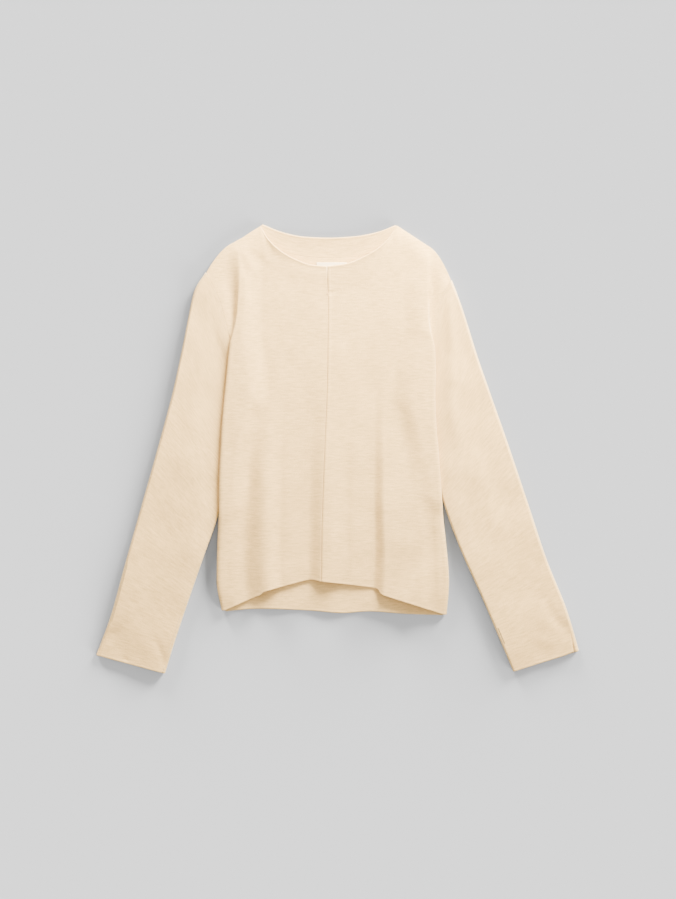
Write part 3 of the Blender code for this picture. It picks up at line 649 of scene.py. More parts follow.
def grid_shell(name, points, thickness, material, u=None, v=None):
    """A shell from a grid of points, with its knit measured along the grid in millimetres."""
    rows, columns = points.shape[:2]
    faces = grid_faces(rows, columns)
    u = along_grid(points, 1) if u is None else u
    v = along_grid(points, 0) if v is None else v
    uv = np.stack([u, v], axis=-1).reshape(-1, 2)
    return shell(name, points.reshape(-1, 3), faces, uv[faces].reshape(-1, 2), thickness.ravel(), material)


# Lengths of the cut's edges, which set how finely each grid is drawn
FRONT_WIDTH = 165.0
TUCK_WIDTH = 60.0
ARMHOLE_LENGTH = 240.0
SIDE_LENGTH = 345.0
FRONT_STEP = 1.45
TURN_STEP = 1.5
ROW_STEP = 2.6

SLIT_FADE = 6.0
GAP_REACH = 12.0
SEAM_RIDGE = 0.42
SEAM_RIDGE_AT = 2.6
SEAM_RIDGE_WIDTH = 1.5
RIM_FADE = 0.05
# Creases fade out this close to the turn and to the top edge.
CREASE_FADE_TURN = 14.0
CREASE_FADE_TOP = 16.0


def steps_down(row_step):
    """Steps from the shoulder to the hem: 0 to 1 down the armhole, 1 to 2 down the side seam."""
    upper = fill(0, ARMHOLE_LENGTH, row_step, True, False)
    lower = fill(0, SIDE_LENGTH, row_step, False, True)[1:]
    return np.concatenate([upper, 1 + lower])


def front_grid(side):
    """The points in the middle of a half front's cloth, and the shares of its thickness."""
    across = fill(0, FRONT_WIDTH, FRONT_STEP, True, False)
    beyond = fill(0, TUCK_WIDTH, TURN_STEP, False, True)[1:]
    step = steps_down(ROW_STEP)
    down = down_at(side, step)
    plan = front_plan(side, across, down)
    z = front_z(side, across, down, plan)
    upper = np.concatenate([plan, z[..., None]], axis=-1)
    slit = ease((plan[:, :1, 1] - (CENTRE[0].y - SLIT_LENGTH)) / SLIT_FADE)
    near_centre = np.maximum(0.0, 1 - across[None, :] * FRONT_WIDTH / GAP_REACH)
    upper[..., 0] += side.sign * blend(CENTRE_GAP, SLIT_WIDTH, slit) / 2 * near_centre
    inward = along_grid(upper, 1)
    lift = crease_height(FRONT_CREASES, upper)
    from_turn, from_top = inward[:, -1:] - inward, down[:, None] * FRONT_LENGTH
    upper[..., 2] += lift * ease(from_turn / CREASE_FADE_TURN) * ease(from_top / CREASE_FADE_TOP)
    if side.sign > 0:
        upper[..., 2] += SEAM_RIDGE * np.exp(-(((inward - SEAM_RIDGE_AT) / SEAM_RIDGE_WIDTH) ** 2))
    points = np.concatenate([upper, turn_points(side, beyond, step)], axis=1)
    u, v, edge_u, edge_v = margins(points)
    thickness = rounded(u, CENTRE_RADIUS[side.name]) * rounded(edge_u, SEAM_RADIUS)
    thickness = thickness * rounded(v) * rounded(edge_v, HEM_RADIUS) * selvedge(edge_v)
    rim = ease((tip_share(side) - np.concatenate([across, 1 + beyond])) / RIM_FADE)[None, :]
    thickness = thickness * blend(1.0, selvedge(v), rim)
    return points, thickness, u, v


def make_front(side, material):
    points, thickness, u, v = front_grid(side)
    y = points[..., 1]
    if side.sign < 0:
        points, thickness, u, y = points[:, ::-1], thickness[:, ::-1], u[:, ::-1], y[:, ::-1]
    return grid_shell(f"knit_front_{side.name}", points, thickness, material, u=side.sign * u, v=y)


def back_top(across):
    """The back's upper edge: up one shoulder, along the neck seam and down the other shoulder."""
    right, left = SIDES
    neck_gap = np.array([0.0, SEAM_GAP / 2])
    first = np.array([0.0])
    ends = [
        body_edge(right, first)[0],
        walk(NECK_SEAM, 0.0) - neck_gap,
        walk(NECK_SEAM, 1.0) - neck_gap,
        body_edge(left, first)[0],
    ]
    neck = walk(NECK_SEAM, np.clip((across - NECK_START) / (NECK_END - NECK_START), 0, 1)) - neck_gap
    up = np.clip(across / NECK_START, 0, 1)[:, None]
    down = np.clip((across - NECK_END) / (1 - NECK_END), 0, 1)[:, None]
    crown = np.array([0.0, BACK_CROWN * 4])
    right_shoulder = blend(ends[0], ends[1], up) + crown * up * (1 - up)
    left_shoulder = blend(ends[2], ends[3], down) + crown * down * (1 - down)
    inside = np.where((across <= NECK_END)[:, None], neck, left_shoulder)
    return np.where((across < NECK_START)[:, None], right_shoulder, inside)


SHOULDER_WIDTH = 75.0
NECK_WIDTH = 250.0
BACK_STEP = 2.6
BACK_ROW_STEP = 3.4
# The back's hem lies in soft waves, which fade out upwards and to the sides.
BACK_WAVE = 2.0
BACK_WAVE_LENGTH = 86.0
BACK_WAVE_PHASE = 2.4
BACK_WAVE_FADE = 60.0


def back_grid():
    across = np.concatenate(
        [
            fill(0, SHOULDER_WIDTH, BACK_STEP, True, False) * NECK_START,
            blend(NECK_START, NECK_END, fill(0, NECK_WIDTH, BACK_STEP, False, False)[1:]),
            blend(NECK_END, 1.0, fill(0, SHOULDER_WIDTH, BACK_STEP, False, True)[1:]),
        ]
    )
    step = steps_down(BACK_ROW_STEP)
    down = (sum(down_at(side, step) for side in SIDES) / 2)[:, None, None]
    a = across[None, :, None]
    edges = [body_edge(side, step)[:, None] for side in SIDES]
    shoulders = [edge[:1] for edge in edges]
    ends = [edge[-1:] for edge in edges]
    hem = rows_at(HEM_BACK, "x", blend(ends[0][0, 0, 0], ends[1][0, 0, 0], across))
    lifts = [end[0, 0, 1] - rows_at(HEM_BACK, "x", end[0, 0, 0])[1] for end in ends]
    hem[:, 1] += blend(lifts[0], lifts[1], across)
    corners = (1 - down) * blend(shoulders[0], shoulders[1], a) + down * blend(ends[0], ends[1], a)
    plan = (1 - down) * back_top(across)[None] + down * hem[None] + blend(edges[0], edges[1], a) - corners
    points = np.concatenate([plan, np.full(plan.shape[:2] + (1,), REST_Z)], axis=-1)
    u, v, edge_u, edge_v = margins(points)
    near_hem = np.exp(-((edge_v / BACK_WAVE_FADE) ** 2))
    near_hem = near_hem * ease(u / BACK_WAVE_FADE) * ease(edge_u / BACK_WAVE_FADE)
    wave = 0.5 + 0.5 * np.sin(2 * math.pi * points[..., 0] / BACK_WAVE_LENGTH + BACK_WAVE_PHASE)
    points[..., 2] += BACK_WAVE * wave * near_hem
    thickness = rounded(u, SEAM_RADIUS) * rounded(edge_u, SEAM_RADIUS) * rounded(v, NECK_RADIUS)
    return points, thickness * rounded(edge_v) * selvedge(edge_v), u


def make_back(material):
    points, thickness, u = back_grid()
    return grid_shell("knit_back", points, thickness, material, u=u, v=points[..., 1])


BAND_LENGTH = 280.0
BAND_HEIGHT = 31.0
BAND_STEP = 2.0
BAND_ROW_STEP = 1.6


def make_band(material):
    """The back band of the collar, which rises a little towards its rim."""
    across = fill(0, BAND_LENGTH, BAND_STEP, True, True)
    up = 1 - fill(0, BAND_HEIGHT, BAND_ROW_STEP, True, True)
    seam = walk(NECK_SEAM, across) + np.array([0.0, SEAM_GAP / 2])
    rim = walk(BACK_RIM, across)
    plan = blend(seam[None], rim[None], up[:, None, None])
    rise = BAND_RISE * up[:, None] ** 2 * (1 - (2 * across[None, :] - 1) ** 4)
    points = np.concatenate([plan, (REST_Z + rise)[..., None]], axis=-1)
    u, v, edge_u, edge_v = margins(points)
    thickness = rounded(u) * rounded(edge_u) * rounded(v) * rounded(edge_v, NECK_RADIUS) * selvedge(v)
    return grid_shell("knit_collar_back", points, thickness, material, u=u, v=-v)


SLEEVE_STEP = 2.4
FOLD_STEPS = 12
WIDTH_POINTS = 62
CUFF_FLATTEN = 1.5
CUFF_FLATTEN_LENGTH = 70.0
LOWEST_LIFT = -2.9
# Beside the body the sleeve sinks into a valley, which fades in over these shares of the sleeve.
BODY_VALLEY = 2.6
VALLEY_SKIP = 0.02
VALLEY_FADE = 0.1
WALL_FADE = 0.05
VALLEY_START = {"right": 4.0, "left": -2.0}
BODY_VALLEY_WIDTH = {"right": 24.0, "left": 15.0}
# Ridges of the sleeves beside the body, which wall the valley between them
VALLEY_WALLS = {
    "right": (Crease(0.6, 14.0, ((-218, 190), (-214, 120), (-222, 40), (-238, -40))),),
    "left": (
        Crease(3.0, 9.0, ((166, 250), (172, 220), (176, 180), (178, 150), (176, 110))),
        Crease(2.4, 10.0, ((176, 130), (174, 90), (178, 50), (186, 10))),
    ),
}
# The slit at the cuff: its columns on top part from the ones below, most at the cuff.
SLIT_COLUMN = 7
SLIT_SPREAD = {"right": 1.0, "left": 5.0}
SLIT_POWER = 0.6
SLIT_LIFT = 0.3
SLIT_SINK = 0.8
SLIT_REACH = 3.2
SLIT_COLUMNS_ABOVE = 24
SLIT_COLUMNS_BELOW = 8


def sleeve_around():
    """Shares of the sleeve's width and turns round its edges, starting on top near the outer fold."""
    fold = np.linspace(0, 1, FOLD_STEPS + 1)
    width = np.linspace(0, 1, WIDTH_POINTS)
    half = FOLD_STEPS // 2
    share = np.concatenate([np.zeros(half), width, np.ones(FOLD_STEPS - 1), width[::-1], np.zeros(half)])
    above, below = np.zeros(WIDTH_POINTS), np.ones(WIDTH_POINTS)
    turn = np.concatenate([1.5 + fold[half:-1], above, fold[1:-1], below, 1 + fold[1 : half + 1]])
    return np.roll(share, -SLIT_COLUMN), np.roll(turn, -SLIT_COLUMN)


def sleeve_grid(side, creases):
    """The points in the middle of a sleeve's cloth, its rows' shares of the length, and the length."""
    share, turn = sleeve_around()
    sections = fine_rows(side.sleeve)
    middle = (sections[:, :2] + sections[:, 2:]) / 2
    length = np.linalg.norm(np.diff(middle, axis=0), axis=1).sum()
    along = fill(0, length, SLEEVE_STEP, True, True)
    section = interpolate(along * (len(sections) - 1), range(len(sections)), sections)
    outer, inner = section[:, None, :2], section[:, None, 2:]
    width = np.linalg.norm(inner - outer, axis=-1)
    radius = SLEEVE_FOLD_RADIUS / width
    fold_start = (WALL / 2) / width + radius
    held = np.clip(share[None, :], fold_start, 1 - fold_start)
    held = held + radius * np.sin(math.pi * turn[None, :])
    bend = walk(side.armhole, held[0]) - blend(outer[0], inner[0], held[0][:, None])
    plan = blend(outer, inner, held[..., None])
    plan = plan + bend[None] * (np.maximum(0.0, 1 - along / ARMHOLE_REACH) ** 2)[:, None, None]
    plan[..., 0] += side.sign * SEAM_GAP / 2
    z = REST_Z + SLEEVE_FOLD_RADIUS * (1 + np.cos(math.pi * turn))[None, :]
    points = np.concatenate([plan, np.broadcast_to(z, plan.shape[:2])[..., None]], axis=-1)
    upper = ease((1 + np.cos(math.pi * turn)) / 2)[None, :]
    lift = crease_height(creases, points)
    from_cuff = (1 - along)[:, None] * length
    lift = lift - CUFF_FLATTEN * (1 - ease(from_cuff / CUFF_FLATTEN_LENGTH))
    body = rows_at(side.turns, "y", points[..., 1])[..., 1]
    beyond = side.sign * (points[..., 0] - body)
    past_edge = np.maximum(beyond - VALLEY_START[side.name], 0.0)
    past_start = along[:, None] - VALLEY_SKIP
    beside = np.exp(-((past_edge / BODY_VALLEY_WIDTH[side.name]) ** 2)) * ease(past_start / VALLEY_FADE)
    lift = blend(lift, -BODY_VALLEY, beside)
    lift = lift + crease_height(VALLEY_WALLS[side.name], points) * ease(past_start / WALL_FADE)
    points[..., 2] += np.maximum(lift, LOWEST_LIFT) * upper
    return points, along, length


def make_sleeve(side, creases, material):
    """A flattened tube, closed along its outer fold up to the cuff's slit."""
    points, along, length = sleeve_grid(side, creases)
    rows, columns = points.shape[:2]
    open_row = int(np.searchsorted(along * length, length - CUFF_SLIT))
    opened = points[open_row:]
    parting = (along[open_row:] * length - (length - CUFF_SLIT)) / CUFF_SLIT
    parting = np.clip(parting, 0, 1)[:, None] ** SLIT_POWER
    lip = opened[:, 0].copy()
    lip[:, 2:] -= SLIT_SINK * parting
    reach = np.exp(-np.linspace(0, SLIT_REACH, SLIT_COLUMNS_ABOVE) ** 2)
    opened[:, :SLIT_COLUMNS_ABOVE, 0] -= side.sign * SLIT_SPREAD[side.name] * parting * reach
    opened[:, :SLIT_COLUMNS_ABOVE, 2] += SLIT_LIFT * parting * reach
    opened[:, : -SLIT_COLUMNS_BELOW - 1 : -1, 2] -= SLIT_SINK * parting * reach[:SLIT_COLUMNS_BELOW]
    flat = np.concatenate([points.reshape(-1, 3), lip])
    faces = grid_faces(rows, columns)
    row = np.arange(rows - 1)
    last = row * columns + columns - 1
    wrap_here = np.where(row > open_row, rows * columns + row - open_row, row * columns)
    after = row + 1
    wrap_after = np.where(after > open_row, rows * columns + after - open_row, after * columns)
    faces = np.concatenate([faces, np.stack([last, last + columns, wrap_after, wrap_here], axis=-1)])
    u = along_grid(points, 1)
    v = np.broadcast_to((along * length)[:, None], u.shape)
    closing = np.linalg.norm(points[:, -1] - points[:, 0], axis=-1)
    closing[open_row:] = np.linalg.norm(opened[:, -1] - lip, axis=-1)
    round_u = u[:, -1] + closing
    lip_uv = np.stack([round_u[open_row:], (along * length)[open_row:]], axis=-1)
    corner_uv = np.concatenate([np.stack([u, v], axis=-1).reshape(-1, 2), lip_uv])[faces]
    seam_faces = slice(len(faces) - (rows - 1), None)
    corner_uv[seam_faces, 2, 0] = round_u[after]
    corner_uv[seam_faces, 3, 0] = round_u[row]
    from_start, from_cuff = along * length, (1 - along) * length
    ends = rounded(from_start, SEAM_RADIUS) * rounded(from_cuff) * selvedge(from_cuff)
    thickness = np.broadcast_to(ends[:, None], u.shape).copy()
    past = np.arange(rows) > open_row
    thickness[past] *= rounded(u[past]) * rounded(round_u[past, None] - u[past])
    lip_thickness = np.where(past[open_row:], THINNEST, 1.0) * ends[open_row:]
    thickness = np.concatenate([thickness.ravel(), lip_thickness])
    if side.sign > 0:
        faces, corner_uv = faces[:, ::-1], corner_uv[:, ::-1]
    return shell(f"knit_sleeve_{side.name}", flat, faces, corner_uv.reshape(-1, 2), thickness, material)


STITCH_SIDES = 6
STITCH_RINGS = 7


def stitch(start, end, radius, bow):
    """A thin rounded thread from start to end that bows up a little: its points, and its faces."""
    axis = end - start
    length = np.linalg.norm(axis)
    axis = axis / length
    out = np.array([0.0, 0.0, 1.0])
    out = out - axis * np.dot(out, axis)
    out = out / np.linalg.norm(out)
    across = np.cross(axis, out)
    angles = 2 * math.pi * np.arange(STITCH_SIDES)[:, None] / STITCH_SIDES
    rings = []
    for share in np.linspace(0, 1, STITCH_RINGS):
        centre = start + axis * length * share + out * bow * math.sin(math.pi * share)
        swell = np.sqrt(np.clip(1 - (2 * share - 1) ** 4, THINNEST, 1))
        rings.append(centre + radius * swell * (np.cos(angles) * out + np.sin(angles) * across))
    faces = []
    for first in range(0, (STITCH_RINGS - 1) * STITCH_SIDES, STITCH_SIDES):
        for k in range(STITCH_SIDES):
            n = (k + 1) % STITCH_SIDES
            faces.append((first + k, first + n, first + STITCH_SIDES + n, first + STITCH_SIDES + k))
    count = STITCH_RINGS * STITCH_SIDES
    caps = [tuple(range(STITCH_SIDES))[::-1], tuple(range(count - STITCH_SIDES, count))]
    return np.concatenate(rings), faces + caps


def stitches(name, pairs, radius, bow, material):
    """One mesh of stitches, each from one point to another across a seam."""
    points, faces = [], []
    for index, (start, end) in enumerate(pairs):
        made, sides = stitch(np.array(start, float), np.array(end, float), radius, bow)
        points.append(made)
        faces += [tuple(corner + index * len(made) for corner in face) for face in sides]
    return new_piece(name, in_frame(np.concatenate(points)), faces, material)


# How upright the surface's normal is where the painted bounce light on sideways-facing cloth is full and
# where it starts
PAINTED_BOUNCE_FULL = 0.15
PAINTED_BOUNCE_START = 0.70
# The paler colour that paints bounce light onto sideways-facing cloth
PAINTED_BOUNCE_COLOUR = (0.97, 0.90, 0.74, 1.0)


class Nodes:
    """A material's nodes, with short calls for the ones used here."""

    def __init__(self, name):
        self.material = bpy.data.materials.new(name)
        self.material.use_nodes = True
        self.tree = self.material.node_tree
        self.shader = self.tree.nodes["Principled BSDF"]

    def add(self, kind, **values):
        node = self.tree.nodes.new(kind)
        for key, value in values.items():
            setattr(node, key, value)
        return node

    def link(self, source, target):
        self.tree.links.new(source, target)

    def math(self, operation, first, second=None):
        node = self.add("ShaderNodeMath", operation=operation)
        for value, socket in zip((first, second), node.inputs):
            if isinstance(value, (int, float)):
                socket.default_value = value
            elif value is not None:
                self.link(value, socket)
        return node.outputs[0]

    def times(self, first, second):
        return self.math("MULTIPLY", first, second)

    def split(self, vector):
        node = self.add("ShaderNodeSeparateXYZ")
        self.link(vector, node.inputs[0])
        return node.outputs

    def cloth_place(self):
        """Places across and down the cloth, in metres."""
        place = self.split(self.add("ShaderNodeUVMap", uv_map="cloth").outputs[0])
        return place[0], place[1]

    def stretched(self, u, v, across, down):
        """A place on the cloth, counted in so many cells a metre across and down."""
        node = self.add("ShaderNodeCombineXYZ")
        self.link(self.times(u, across), node.inputs[0])
        self.link(self.times(v, down), node.inputs[1])
        return node.outputs[0]

    def noise(self, vector, scale=1.0, detail=2.0, roughness=0.5):
        node = self.add("ShaderNodeTexNoise")
        node.inputs["Scale"].default_value = scale
        node.inputs["Detail"].default_value = detail
        node.inputs["Roughness"].default_value = roughness
        self.link(vector, node.inputs["Vector"])
        return node.outputs["Fac"]

    def ramp(self, factor, stops):
        node = self.add("ShaderNodeValToRGB")
        ramp = node.color_ramp
        ramp.elements[0].position, ramp.elements[0].color = stops[0]
        ramp.elements[1].position, ramp.elements[1].color = stops[-1]
        for position, colour in stops[1:-1]:
            ramp.elements.new(position).color = colour
        self.link(factor, node.inputs[0])
        return node.outputs[0]

    def bump(self, height, strength, distance, normal=None):
        node = self.add("ShaderNodeBump")
        node.inputs["Strength"].default_value = strength
        node.inputs["Distance"].default_value = distance
        self.link(height, node.inputs["Height"])
        if normal is not None:
            self.link(normal, node.inputs["Normal"])
        return node.outputs[0]

    def painted_bounce_rim(self, colour):
        """Painted bounce light: the yarn's colour turns paler where the cloth turns over an edge and faces
        sideways, standing in for light bounced up from the floor.
        """
        upright = self.split(self.add("ShaderNodeNewGeometry").outputs["Normal"])[2]
        sideways = self.add("ShaderNodeMapRange")
        sideways.inputs["From Min"].default_value = PAINTED_BOUNCE_FULL
        sideways.inputs["From Max"].default_value = PAINTED_BOUNCE_START
        sideways.inputs["To Min"].default_value = 1.0
        sideways.inputs["To Max"].default_value = 0.0
        self.link(self.math("ABSOLUTE", upright), sideways.inputs["Value"])
        mix = self.add("ShaderNodeMixRGB")
        self.link(sideways.outputs[0], mix.inputs[0])
        self.link(colour, mix.inputs[1])
        mix.inputs[2].default_value = PAINTED_BOUNCE_COLOUR
        return mix.outputs[0]

    def surface(self, colour, normal, roughness):
        self.link(colour, self.shader.inputs["Base Color"])
        self.link(normal, self.shader.inputs["Normal"])
        self.shader.inputs["Roughness"].default_value = roughness
        return self.material


# The knit's stitches, in metres
WALE = 0.0016
COURSE = 0.0012
LEG_SLANT = 0.62
# The yarn's unevenness in three sizes: its cells a metre across and down, and its share of the tone
Grain = namedtuple("Grain", "across down share")
STREAK = Grain(across=62.0, down=400.0, share=0.60)
FLECK = Grain(across=420.0, down=900.0, share=0.22)
CLOUD = Grain(across=22.0, down=48.0, share=0.18)
# Where on the uneven tone the yarn is dark, middling and light
DARK_AT, MIDDLE_AT, LIGHT_AT = 0.36, 0.49, 0.62


def knit_material(name, light, dark):
    """Fine stocking stitch in a flecked yarn: a column of small Vs a wale, and uneven courses."""
    nodes = Nodes(name)
    u, v = nodes.cloth_place()
    in_wale = nodes.math("FRACT", nodes.math("DIVIDE", u, WALE))
    from_middle = nodes.times(nodes.math("ABSOLUTE", nodes.math("SUBTRACT", in_wale, 0.5)), 2.0)
    slanted = nodes.math("ADD", nodes.math("DIVIDE", v, COURSE), nodes.times(from_middle, LEG_SLANT))
    leg = nodes.math("SINE", nodes.times(nodes.math("FRACT", slanted), math.pi))
    column = nodes.math("SUBTRACT", 1.0, nodes.math("POWER", from_middle, 3.0))
    loops = nodes.times(leg, column)

    streak = nodes.noise(nodes.stretched(u, v, STREAK.across, STREAK.down), detail=3.0, roughness=0.62)
    fleck = nodes.noise(nodes.stretched(u, v, FLECK.across, FLECK.down))
    cloud = nodes.noise(nodes.stretched(u, v, CLOUD.across, CLOUD.down), detail=3.0)
    fine = nodes.math("ADD", nodes.times(fleck, FLECK.share), nodes.times(cloud, CLOUD.share))
    tone = nodes.math("ADD", nodes.times(streak, STREAK.share), fine)
    middling = tuple((a + b) / 2 for a, b in zip(light, dark))
    yarn = nodes.ramp(tone, ((DARK_AT, dark), (MIDDLE_AT, middling), (LIGHT_AT, light)))
    uneven = nodes.bump(streak, strength=0.55, distance=0.00055)
    knitted = nodes.bump(loops, strength=0.5, distance=0.00035, normal=uneven)
    nodes.shader.inputs["Specular IOR Level"].default_value = 0.1
    # Sideways-facing cloth gets painted bounce light mixed into its colour.
    return nodes.surface(nodes.painted_bounce_rim(yarn), knitted, roughness=0.92)


def thread_material(name, colour):
    """Twisted thread: short turns of lighter and darker yarn."""
    nodes = Nodes(name)
    twist = nodes.noise(nodes.add("ShaderNodeTexCoord").outputs["Object"], scale=2200.0)
    darker = tuple(0.9 * value for value in colour[:3]) + (1.0,)
    twisted = nodes.bump(twist, strength=0.5, distance=0.0001)
    return nodes.surface(nodes.ramp(twist, ((0.35, darker), (0.65, colour))), twisted, roughness=0.85)


TAPE_WARP = 0.00045
TAPE_WEFT = 0.0006


def tape_material(name, colour):
    """Woven tape: fine ribs across it and a soft shine."""
    nodes = Nodes(name)
    u, v = nodes.cloth_place()
    warp = nodes.math("SINE", nodes.times(u, 2 * math.pi / TAPE_WARP))
    weft = nodes.math("SINE", nodes.times(v, 2 * math.pi / TAPE_WEFT))
    woven = nodes.bump(nodes.times(warp, weft), strength=0.3, distance=0.00008)
    tone = nodes.noise(nodes.stretched(u, v, 300.0, 900.0))
    darker = tuple(0.94 * value for value in colour[:3]) + (1.0,)
    nodes.shader.inputs["Sheen Weight"].default_value = 0.2
    return nodes.surface(nodes.ramp(tone, ((0.3, darker), (0.7, colour))), woven, roughness=0.5)


KNIT_LIGHT = (0.970, 0.730, 0.380, 1.0)
KNIT_DARK = (0.700, 0.527, 0.260, 1.0)
THREAD = (0.78, 0.57, 0.32, 1.0)
TAPE = (0.93, 0.90, 0.80, 1.0)

knit = knit_material("cream_knit", KNIT_LIGHT, KNIT_DARK)
thread = thread_material("cream_thread", THREAD)
tape = tape_material("white_tape", TAPE)

fronts = {side.name: make_front(side, knit) for side in SIDES}
back = make_back(knit)
band = make_band(knit)
sleeves = {
    "right": make_sleeve(RIGHT_SIDE, SLEEVE_RIGHT_CREASES, knit),
    "left": make_sleeve(LEFT_SIDE, SLEEVE_LEFT_CREASES, knit),
}


LABEL_COLUMNS = 53
LABEL_ROWS = 25
LABEL_THICKNESS = 0.3
# The label's waves along it and down it: their height and length
LABEL_WAVES = ((0.12, 9.0), (0.1, 5.0))


def make_label():
    """The bare woven label inside the back neck, a little wavy."""
    low, high = (np.array(corner) / MM - ROW_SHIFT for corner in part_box("label"))
    x, y = np.meshgrid(np.linspace(low[0], high[0], LABEL_COLUMNS), np.linspace(high[1], low[1], LABEL_ROWS))
    z = (low[2] + high[2]) / 2
    for (height, length), distance in zip(LABEL_WAVES, (x - low[0], y - low[1])):
        z = z + height * np.sin(distance / length)
    points = np.stack([x, y, z], axis=-1)
    return grid_shell("woven_label", points, np.full(x.shape, LABEL_THICKNESS), tape, u=x, v=y)


label = make_label()

STITCH_RADIUS = 0.26
STITCH_BOW = 0.1
STITCH_REACH = 0.75
STITCH_PITCH = 1.9
# Above the middle of the cloth
STITCH_LIFT = 0.45


def seam_pairs(line):
    """The ends of stitches across a line of points, at an even pitch and sunk a little below the surface."""
    along = distances(line)
    reach = np.array([STITCH_REACH, 0.0, 0.0])
    pairs = []
    for place in np.arange(STITCH_PITCH / 2, along[-1], STITCH_PITCH):
        point = interpolate(place, along, line) + np.array([0.0, 0.0, STITCH_LIFT])
        pairs.append((point - reach, point + reach))
    return pairs


def centre_line():
    """The closed part of the centre front, below the slit."""
    down = np.linspace(0.0, 1.0, 400)
    plan = centre_point(down)
    z = front_z(LEFT_SIDE, np.array([0.0]), down, plan[:, None])
    line = np.concatenate([plan, z], axis=-1)
    line[:, 2] += crease_height(FRONT_CREASES, line) * ease(down * FRONT_LENGTH / CREASE_FADE_TOP)
    return line[plan[:, 1] < CENTRE[0].y - SLIT_LENGTH]


centre = centre_line()
centre_stitches = stitches("centre_seam_stitches", seam_pairs(centre), STITCH_RADIUS, STITCH_BOW, thread)

# The tack that closes the foot of the slit: a few longer stitches, a little askew
TACK = (-16.0, 241.0)
TACK_REACH = 2.2
TACK_PITCH = 0.45
TACK_SLANT = 0.2
TACK_RADIUS = 0.3
TACK_BOW = 0.15
TACK_LIFT = 0.05
tack_z = float(centre[0, 2]) + WALL / 2 + TACK_LIFT
tack_pairs = []
for row in range(-2, 3):
    tack_y = TACK[1] + TACK_PITCH * row
    right_end = (TACK[0] - TACK_REACH, tack_y, tack_z)
    tack_pairs.append((right_end, (TACK[0] + TACK_REACH, tack_y + TACK_SLANT, tack_z)))
tack = stitches("slit_tack", tack_pairs, TACK_RADIUS, TACK_BOW, thread)

# Which pieces are cloth, the size each was cut to, and what it lies on, in metres. The areas come from the
# outlines of the cuts.
Cut = namedtuple("Cut", "piece node flat area rests_on")
CUTS = (
    Cut(fronts["right"], "front_right", (0.235, 0.605), 0.1060, ["knit_back", "knit_sleeve_right"]),
    Cut(fronts["left"], "front_left", (0.235, 0.610), 0.1060, ["knit_back", "knit_sleeve_left"]),
    Cut(back, "back", (0.385, 0.590), 0.1750, ["floor"]),
    Cut(band, "collar_back", (0.262, 0.032), 0.0068, ["floor"]),
    Cut(sleeves["right"], "sleeve_right", (0.330, 0.650), 0.1320, ["floor"]),
    Cut(sleeves["left"], "sleeve_left", (0.330, 0.650), 0.1320, ["floor"]),
)
for cut in CUTS:
    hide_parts(cut.node)
    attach(cut.piece, "root")
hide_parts("label")
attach(label, "root")
for piece in (centre_stitches, tack):
    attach(piece, "root")

# Floor, camera and lights
FLOOR_SIZE = 60.0
VIEW_HEIGHT = 1.393
CAMERA_HEIGHT = 3.0
SENSOR = 36.0

paper = Nodes("paper")
paper.shader.inputs["Roughness"].default_value = 1.0
paper.shader.inputs["Specular IOR Level"].default_value = 0.0
half = FLOOR_SIZE / 2
corners = [(-half, -half, 0), (half, -half, 0), (half, half, 0), (-half, half, 0)]
floor = new_piece("floor", corners, [(0, 1, 2, 3)], paper.material)

camera_data = bpy.data.cameras.new("camera")
camera_data.sensor_width = SENSOR
camera_data.lens = SENSOR * CAMERA_HEIGHT / VIEW_HEIGHT
camera = bpy.data.objects.new("camera", camera_data)
camera.location = (ROW_SHIFT[0] * MM, ROW_SHIFT[1] * MM, CAMERA_HEIGHT + FRONT_Z * MM)
bpy.context.scene.collection.objects.link(camera)
bpy.context.scene.camera = camera

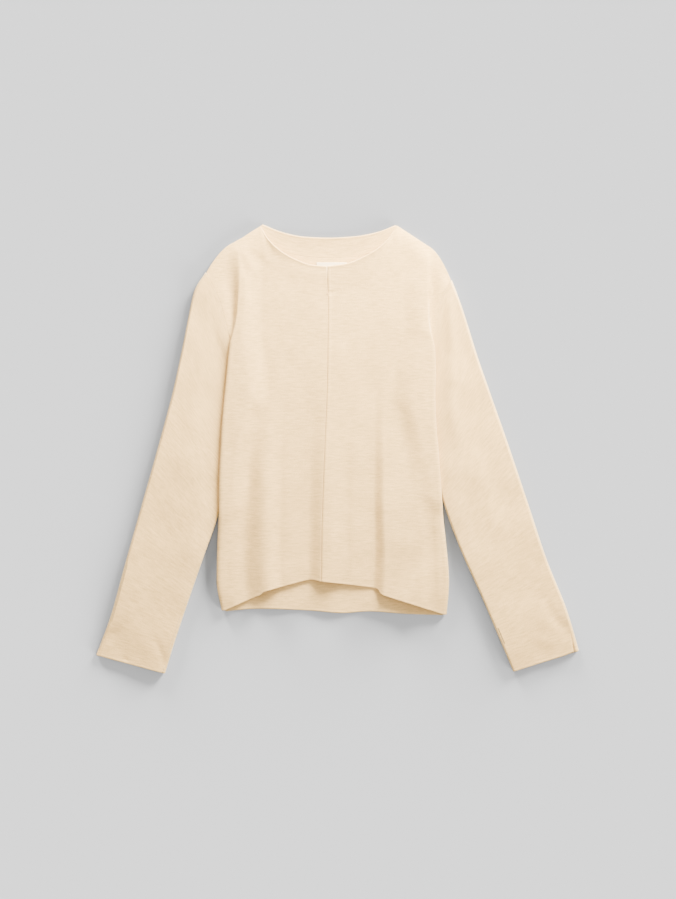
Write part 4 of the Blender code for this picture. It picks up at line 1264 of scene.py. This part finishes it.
# The garment has a large soft key light from the upper right. The paper has three low soft suns instead,
# which draw the soft shadow round the garment. The sky lights both.
LIGHT_COLOUR = (1.0, 0.817, 0.564)
KEY_PLACE = (0.50, 1.40, 0.60)
KEY_RADIUS = 0.41
KEY_POWER = 975.0
LowLight = namedtuple("LowLight", "name toward strength angle")
LOW_LIGHTS = (
    LowLight(name="low_corner", toward=Vector((0.64, 0.77, 0.08)), strength=92.0, angle=26.0),
    LowLight(name="low_right", toward=Vector((0.80, -0.60, 0.08)), strength=43.0, angle=26.0),
    LowLight(name="low_top", toward=Vector((-0.40, 0.92, 0.075)), strength=50.0, angle=18.0),
)
SKY_STRENGTH = 1.17
SKY_LEAN = (0.45, 0.65, 0.30)


def receivers(name, members):
    """The pieces that a light reaches."""
    group = bpy.data.collections.new(name)
    for member in members:
        group.objects.link(member)
    return group


def add_light(kind, name, energy, reached):
    """A light that reaches only some pieces."""
    data = bpy.data.lights.new(name, kind)
    data.energy = energy
    data.color = LIGHT_COLOUR
    light = bpy.data.objects.new(name, data)
    light.light_linking.receiver_collection = reached
    bpy.context.scene.collection.objects.link(light)
    return light


garment_light = receivers("lit_garment", [cut.piece for cut in CUTS] + [label, centre_stitches, tack])
paper_light = receivers("lit_paper", [floor])

key = add_light("POINT", "key", KEY_POWER, garment_light)
key.data.shadow_soft_size = KEY_RADIUS
key.data.use_soft_falloff = False
key.location = KEY_PLACE
key.visible_camera = False

for low in LOW_LIGHTS:
    sun = add_light("SUN", low.name, low.strength, paper_light)
    sun.data.angle = math.radians(low.angle)
    sun.rotation_mode = "QUATERNION"
    sun.rotation_quaternion = (-low.toward).to_track_quat("-Z", "Y")

PAPER_TONE = 0.2495
paper_colour = tuple(PAPER_TONE / share for share in LIGHT_COLOUR) + (1.0,)
paper.shader.inputs["Base Color"].default_value = paper_colour

world = bpy.data.worlds.new("studio")
world.use_nodes = True
sky = world.node_tree
background = sky.nodes["Background"]
background.inputs["Color"].default_value = LIGHT_COLOUR + (1.0,)
# The sky is brighter towards the key light than away from it.
towards = sky.nodes.new("ShaderNodeTexCoord").outputs["Generated"]
lean = sky.nodes.new("ShaderNodeVectorMath")
lean.operation = "DOT_PRODUCT"
lean.inputs[1].default_value = SKY_LEAN
brighter = sky.nodes.new("ShaderNodeMath")
brighter.operation = "MULTIPLY_ADD"
brighter.inputs[1].default_value = SKY_STRENGTH
brighter.inputs[2].default_value = SKY_STRENGTH
sky.links.new(towards, lean.inputs[0])
sky.links.new(lean.outputs["Value"], brighter.inputs[0])
sky.links.new(brighter.outputs[0], background.inputs["Strength"])
bpy.context.scene.world = world
